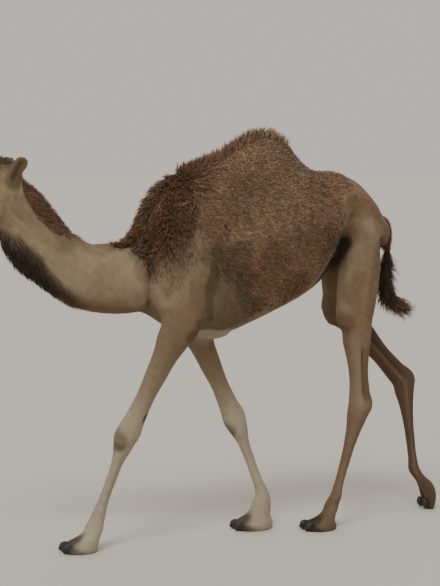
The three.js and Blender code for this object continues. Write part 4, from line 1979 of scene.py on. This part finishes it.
@dataclass(frozen=True)
class Lashes:
    """The long lashes of one eye's upper lid, and short ones below.

    Attributes:
        side: -1 on the animal's left, 1 on its right.
        upper: Kind of lash on the upper lid.
        lower: Kind of lash on the lower lid, with as many steps.
        count: Lashes on each lid.
    """

    side: int
    upper: Lock = Lock(27, 0.45, 8, -3.0, 0.1, 0.12, 4, 0.0, 0.1)
    lower: Lock = Lock(11, 0.35, 6, 2.0, 0.1, 0.15, 4, 0.0, 0.1)
    count: int = 110

    def build(self, coat: Coat) -> bpy.types.Object:
        """Root the lashes along the rims of the lids.

        Args:
            coat: The coat, for its place on the hide's unwrap.

        Returns:
            The lashes' object.
        """
        rng = np.random.default_rng(11 + self.side)
        spread = np.linspace(-0.86, 0.9, self.count) + rng.normal(0, 0.01, self.count)
        forward = spread * LID_HALF[0]
        top = LID_HALF[1] * 1.08 * np.sqrt(np.clip(1 - spread**2, 0.02, 1)) / (1 + 0.5 * np.abs(spread))
        one = np.ones(self.count)
        points, triangles, start = [], [], 0
        for lock, up, lie_up in ((self.upper, top, -0.1), (self.lower, -top, -0.35)):
            z = EYE_AT[2] + up - 0.12 * forward
            out = EYE_AT[1] + 0.5 + np.sqrt(np.clip(EYE_RADIUS**2 - forward**2 - up**2, 0, None)) + 1.0
            roots = np.stack([EYE_AT[0] - forward, self.side * out, z], axis=1) * MM
            normals = np.tile([0.0, 0.2 * self.side, np.sign(up.mean())], (self.count, 1))
            lies = np.stack([-0.25 - 0.7 * spread, one * self.side, one * lie_up], axis=1)
            blades = lock.blades(roots, unit(normals), unit(lies), one, rng)
            corners = blades.shape[1]
            shift = start + np.arange(self.count)[:, None, None] * corners
            points.append(blades.reshape(-1, 3))
            triangles.append((lock.triangles()[None] + shift).reshape(-1, 3))
            start += self.count * corners
        name = f"lashes_{side_name(self.side)}"
        thing = triangle_object(name, np.vstack(points), np.vstack(triangles))
        paint(thing.data, np.tile(srgb(COAT["black"]), (start, 1)))
        eye = np.array(EYE_AT) * [1, self.side, 1] * MM
        nearest = np.argmin(np.linalg.norm(coat.centres - eye, axis=1))
        uv = np.tile(coat.unwrap[coat.loops[nearest][0]], (start // corners, 1))
        coat.map_patches(thing.data, uv, corners)
        dress(thing, FINISHES["hair"])
        return thing


@dataclass(frozen=True)
class Nail:
    """One toe's nail: a hooded plate, rounded in front and flat below.

    Attributes:
        at: Its middle, in millimetres.
        tilt: Its turn about Y, in radians.
        long: Half its length, in millimetres.
        half: Half its width, in millimetres.
        rise: Half its height, in millimetres.
    """

    at: Sequence[float]
    tilt: float
    long: float = 27
    half: float = 15
    rise: float = 19

    def build(self, name: str) -> bpy.types.Object:
        """Make the nail: an ellipsoid narrowed to its front, turned, and level at the floor.

        Args:
            name: The piece's name.

        Returns:
            The nail's object.
        """
        horn = ball((0, 0, 0), np.array((self.long, self.half, self.rise)) * MM, 28, 16)
        ahead = smooth(-0.2 * self.long * MM, -self.long * MM, horn.points[:, 0])
        taper = np.stack([1 + 0 * ahead, 1 - 0.45 * ahead, 1 - 0.3 * ahead], axis=1)
        horn = Surface(horn.points * taper - np.array([0, 0, 1.0]) * (ahead * 0.004)[:, None], horn.faces)
        turn = np.array(
            [
                [math.cos(self.tilt), 0, math.sin(self.tilt)],
                [0, 1, 0],
                [-math.sin(self.tilt), 0, math.cos(self.tilt)],
            ]
        )
        points = horn.points @ turn.T + np.array(self.at) * MM
        points[:, 2] = np.maximum(points[:, 2], 0.0006)
        thing = mesh_object(name, points, horn.faces)
        tone = 1 + 0.25 * np.sin(points[:, 0] * 900)
        paint(thing.data, np.tile(srgb("#241f1a"), (len(points), 1)) * tone[:, None])
        dress(thing, FINISHES["horn"])
        return thing


def nail_of(leg: Leg, side: int) -> Nail:
    """Place one nail on a toe: over its front, or on end where the foot is leaving.

    Args:
        leg: The leg.
        side: -1 for the toe on the animal's left, 1 for the other.

    Returns:
        The nail.
    """
    if leg.leaving:
        return Nail((1250, leg.foot_y + side * 27, 32), 1.3)
    return Nail((leg.toe + 24, leg.foot_y + side * 33, 24), -0.35)


# ---- Stage, light and camera ----


@dataclass(frozen=True)
class Stage:
    """Plain pale floor, soft studio light and the camera.

    Attributes:
        floor: Side of the floor, in metres.
        camera_at: The camera's place, in metres.
        heading: Turn of the camera to the right of +Y, in degrees.
        horizon_px: Row of the picture that the horizon lies on.
        focal_px: Focal length, in pixels.
        frame_px: Width and height of the picture.
    """

    floor: float = 600.0
    camera_at: Sequence[float] = (-2.668, -6.845, 1.72)
    heading: float = 22.0
    horizon_px: float = 165.0
    focal_px: float = 1600.0
    frame_px: Sequence[int] = (440, 586)

    def build(self) -> None:
        """Make floor, lights, sky and camera."""
        self.make_floor()
        self.make_lights()
        self.make_camera()

    def make_floor(self) -> None:
        """A square of pale matt floor under the animal."""
        half = self.floor / 2
        corners = [(-half, -half, 0), (half, -half, 0), (half, half, 0), (-half, half, 0)]
        floor = mesh_object("floor", np.array(corners, dtype=float), [(0, 1, 2, 3)])
        material = bpy.data.materials.new("pale_floor")
        material.use_nodes = True
        shader = material.node_tree.nodes["Principled BSDF"]
        shader.inputs["Base Color"].default_value = (*srgb("#c8c3bb"), 1)
        shader.inputs["Roughness"].default_value = 0.9
        floor.data.materials.append(material)

    def make_lights(self) -> None:
        """A wide soft key from above, a weak light from behind, and an even sky."""
        for name, turn, tilt, spread, power in (
            ("key", -38, 38, 24, 1.55),
            ("back", 150, 48, 60, 0.45),
        ):
            lamp = bpy.data.lights.new(name, "SUN")
            lamp.energy, lamp.angle = power, math.radians(spread)
            holder = placed(name, lamp)
            holder.rotation_euler = (math.radians(tilt), 0, math.radians(turn))
        world = bpy.data.worlds.new("sky")
        world.use_nodes = True
        background = world.node_tree.nodes["Background"]
        background.inputs["Color"].default_value = (*srgb("#e6e0d6"), 1)
        background.inputs["Strength"].default_value = 0.8
        bpy.context.scene.world = world

    def make_camera(self) -> None:
        """A level-sided camera at a standing person's eye height, pitched down a little."""
        sensor = 36.0
        camera = bpy.data.cameras.new("camera")
        camera.sensor_width = sensor
        camera.sensor_fit = "AUTO"
        camera.lens = sensor * self.focal_px / max(self.frame_px)
        camera.clip_end = 1200
        holder = placed("camera", camera)
        holder.location = self.camera_at
        pitch = math.atan((self.frame_px[1] / 2 - self.horizon_px) / self.focal_px)
        holder.rotation_euler = (math.pi / 2 - pitch, 0, -math.radians(self.heading))
        bpy.context.scene.camera = holder


# ---- The whole animal ----


def flesh_nodes() -> list[str]:
    """Names of the solid nodes that the hide stands for."""
    return [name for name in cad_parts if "eye" not in name and "nail" not in name]


def report(thing: bpy.types.Object, slot: str, *nodes: str) -> None:
    """Put a piece on the root body, hide the nodes that it stands for and log how many they are.

    Args:
        thing: The piece.
        slot: Not used.
        *nodes: Nodes of the frame that it stands for.
    """
    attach(thing, "root")
    if nodes:
        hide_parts(*nodes)
    LOG.info("%s stands for %d nodes", thing.name, len(nodes))


@dataclass(frozen=True)
class Growth:
    """One kind of growth on the hide.

    Attributes:
        name: Name of its pieces; the side is added to it.
        slot: Slot of the record.
        lock: The kind of lock.
        per_cm2: Locks on a square centimetre.
        where: Mask of the places that carry it.
        way: Direction of the locks, where it isn't the lie of the coat.
        size: Scale of the locks by place.
        parts: Pieces that each side is shared among.
    """

    name: str
    slot: str
    lock: Lock
    per_cm2: float
    where: Mask
    way: Callable[[Array, Array], Array] | None = None
    size: Mask | None = None
    parts: int = 1


def on_head(points: Array) -> Array:
    """1 on the head and ears, in front of the nape."""
    head = smooth(-0.86, -0.92, points[:, 0]) * smooth(1.43, 1.48, points[:, 2])
    return np.maximum(head, near_line(points, EAR_LINE, 70))


def face_only(points: Array) -> Array:
    """The face's short hair, clear of the eyes, nostrils and lips' edges.

    Args:
        points: Places in metres.

    Returns:
        A value from 0 to 1 for each place.
    """
    eye = near_line(points, ((-1064, 100, 1684),), 25)
    nostril = near_line(points, NOSTRIL, 12)
    lips = near_line(points * [1, 0, 1], MOUTH, 9)
    return on_head(points) * (1 - eye) * (1 - nostril) * (1 - lips)


def leg_skin(points: Array) -> Array:
    """The legs below elbow and stifle, above the soles."""
    places = leg_places(points)
    return places.near * smooth(1.0, 1.2, places.down) * (points[:, 2] > 0.022)


def body_short(points: Array) -> Array:
    """The short coat of neck, shoulder, belly and thigh, with none low on the legs.

    Args:
        points: Places in metres.

    Returns:
        A value from 0 to 1 for each place.
    """
    masks = (wool_mask, withers_mask, throat_mask, nape_mask)
    long_hair = np.maximum.reduce([mask(points) for mask in masks])
    bare = np.maximum.reduce([on_head(points), leg_skin(points), near_line(points, TAIL_LINE, 60)])
    return (1 - long_hair * 0.9) * (1 - bare) * (points[:, 2] > 0.2)


def shoulder_mask(points: Array) -> Array:
    """The rougher hair between the withers' patch and the shoulder's short coat."""
    line = ((-60, 190, 1500), (-150, 190, 1380), (-250, 180, 1270))
    patch = near_line(points, line, 120, 0.25, 14, 0.2)
    return patch * (1 - withers_mask(points)) * (1 - wool_mask(points))


def poll_mask(points: Array) -> Array:
    """The curly tuft on top of the head, between the ears."""
    ear = near_line(points, EAR_LINE, 58)
    return near_line(points, POLL_LINE, 62, 0.15, 10) * (1 - ear)


def in_ear(points: Array) -> Array:
    """The hollow of the ear."""
    return near_line(points, EAR_HOLLOW, 20)


def tuft_mask(points: Array) -> Array:
    """The tail below its dock."""
    return near_line(points, TUFT_LINE, 60)


def dock_mask(points: Array) -> Array:
    """The dock of the tail."""
    return near_line(points, TAIL_LINE[:3], 56) * (1 - tuft_mask(points))


def throat_size(points: Array) -> Array:
    """The throat's mane is longest under the jaw and shortens towards the breast."""
    return 1 + 0.55 * smooth(-0.78, -0.9, points[:, 0]) - 0.72 * smooth(-0.68, -0.52, points[:, 0])


def fleece_size(points: Array) -> Array:
    """The fleece shortens towards its edges."""
    return 0.45 + 0.55 * smooth(0.1, 0.9, wool_mask(points))


def standing_way(points: Array, normals: Array) -> Array:
    """Straight up with a little backward lean."""
    return np.tile([0.35, 0.0, 0.93], (len(points), 1))


def trailing_way(points: Array, normals: Array) -> Array:
    """Down the tail, turning backwards and a little up towards its end."""
    back = smooth(1.16, 1.02, points[:, 2])
    return np.stack([0.1 + 0.9 * back, 0 * back, -1 + 0.75 * back], axis=1)


GROWTHS = (
    Growth(
        "fleece",
        "wool",
        Lock(21, 2.5, 62, 1.0, 0.9, 1.0, 2, 0.5, 0.2, 22, 0.5),
        3.5,
        wool_mask,
        size=fleece_size,
        parts=2,
    ),
    Growth(
        "crest",
        "wool",
        Lock(42, 2.2, 62, 0.4, 0.4, 0.5, 3, 0.5, 0.25, 30, 0.5),
        3.4,
        crest_mask,
        way=standing_way,
    ),
    Growth(
        "withers",
        "dark_hair",
        Lock(46, 2.8, 44, 0.7, 0.6, 0.6, 3, 0.55, 0.25, 34, 0.6),
        3.2,
        withers_mask,
    ),
    Growth(
        "throat",
        "dark_hair",
        Lock(40, 1.9, 18, 0.6, 0.3, 0.3, 3, 0.12, 0.14, 26, 0.4, 0.45),
        3.6,
        throat_mask,
        size=throat_size,
    ),
    Growth("nape", "dark_hair", Lock(32, 2.1, 34, 0.7, 0.4, 0.4, 3, 0.35, 0.2, 26, 0.5), 3.4, nape_mask),
    Growth("poll", "dark_hair", Lock(26, 1.7, 46, 0.8, 0.6, 0.6, 3, 0.4, 0.2, 20, 0.5), 3.4, poll_mask),
    Growth(
        "shoulder",
        "coat",
        Lock(24, 2.0, 22, 0.9, 0.4, 0.45, 2, 0.4, 0.22, 26, 0.4),
        1.6,
        shoulder_mask,
    ),
    Growth("body", "coat", Lock(16, 1.6, 10, 0.9, 0.25, 0.24, 2, 0.3, 0.12, 30, 0.15), 1.15, body_short),
    Growth("legs", "pale_coat", Lock(10, 1.2, 9, 0.9, 0.2, 0.2, 2, 0.25, 0.1), 1.0, leg_skin),
    Growth("face", "coat", Lock(6.5, 0.7, 9, 0.9, 0.2, 0.2, 2, 0.25, 0.1), 3.6, face_only),
    Growth("ear_hair", "pale_coat", Lock(12, 0.7, 30, 0.6, 0.3, 0.3, 3, 0.2, 0.15), 9, in_ear),
    Growth("dock", "dark_hair", Lock(34, 1.4, 20, 0.8, 0.3, 0.24, 3, 0.3, 0.2), 4, dock_mask),
    Growth(
        "tail_tuft",
        "dark_hair",
        Lock(84, 1.7, 22, 0.5, 0.5, 0.34, 4, 0.7, 0.35, 16, 0.5),
        7,
        tuft_mask,
        way=trailing_way,
    ),
)
SPLIT_X = 0.28  # where a growth in two parts is divided, in metres


def build_coat(hide: Hide) -> None:
    """Plant every piece of the coat, each side by itself.

    Args:
        hide: The finished hide, unwrapped.
    """
    coat = Coat(hide)

    def share_of(growth: Growth, side: int, part: int) -> Mask:
        """Keep a growth's mask on one side, and on one share of its length.

        Args:
            growth: What grows.
            side: -1 on the animal's left, 1 on its right.
            part: 0 for the part in front, 1 for the one behind.

        Returns:
            The narrower mask.
        """

        def mask(points: Array) -> Array:
            """The growth's mask within the share."""
            kept = growth.where(points) * (points[:, 1] * side >= 0)
            return kept if growth.parts == 1 else kept * ((points[:, 0] > SPLIT_X) == (part == 1))

        return mask

    seed = 30
    for growth in GROWTHS:
        for side, side_word in SIDES:
            for part in range(growth.parts):
                seed += 1
                name = f"{growth.name}_{side_word}" + (f"_{part + 1}" if growth.parts > 1 else "")
                piece = coat.plant(name, growth, share_of(growth, side, part), seed)
                if piece is not None:
                    report(piece, growth.slot)
    for side, _ in SIDES:
        report(Lashes(side).build(coat), "dark_hair")


def main() -> None:
    """Build the animal, its coat and its stage, and report each piece."""
    logging.basicConfig(level=logging.INFO, format="%(name)s: %(message)s")
    FINISHES["hide"] = HairFinish("short_hair_hide", 0.88, 0.05, 5.0, 0.16, 1.2).material()
    FINISHES["hair"] = HairFinish("hair_locks", 0.85, 0.05, 9.0, 0.1, 0.2).material()
    FINISHES["eye"] = Glossy("wet_eye", 0.1, 0.15, 1.38).material()
    FINISHES["horn"] = Glossy("worn_horn", 0.6, 0.0, 1.55).material()
    hide = Hide()
    LOG.info("hide has %d faces", len(hide.object.data.polygons))
    unwrap_hide(hide.object)
    paint(hide.object.data, markings(hide.points, hide.places))
    dress(hide.object, FINISHES["hide"])
    report(hide.object, "coat", *flesh_nodes())
    for side, name in SIDES:
        report(Eye(side).build(), "eye", f"eye_{name}")
    for leg, leg_name in zip(LEGS, ("fore_left", "fore_right", "hind_left", "hind_right")):
        for side, name in SIDES:
            horn = nail_of(leg, side).build(f"{leg_name}_horn_{name}")
            report(horn, "nail", f"{leg_name}_nail_{name}")
    build_coat(hide)
    Stage().build()


if __name__ == "__main__":
    main()
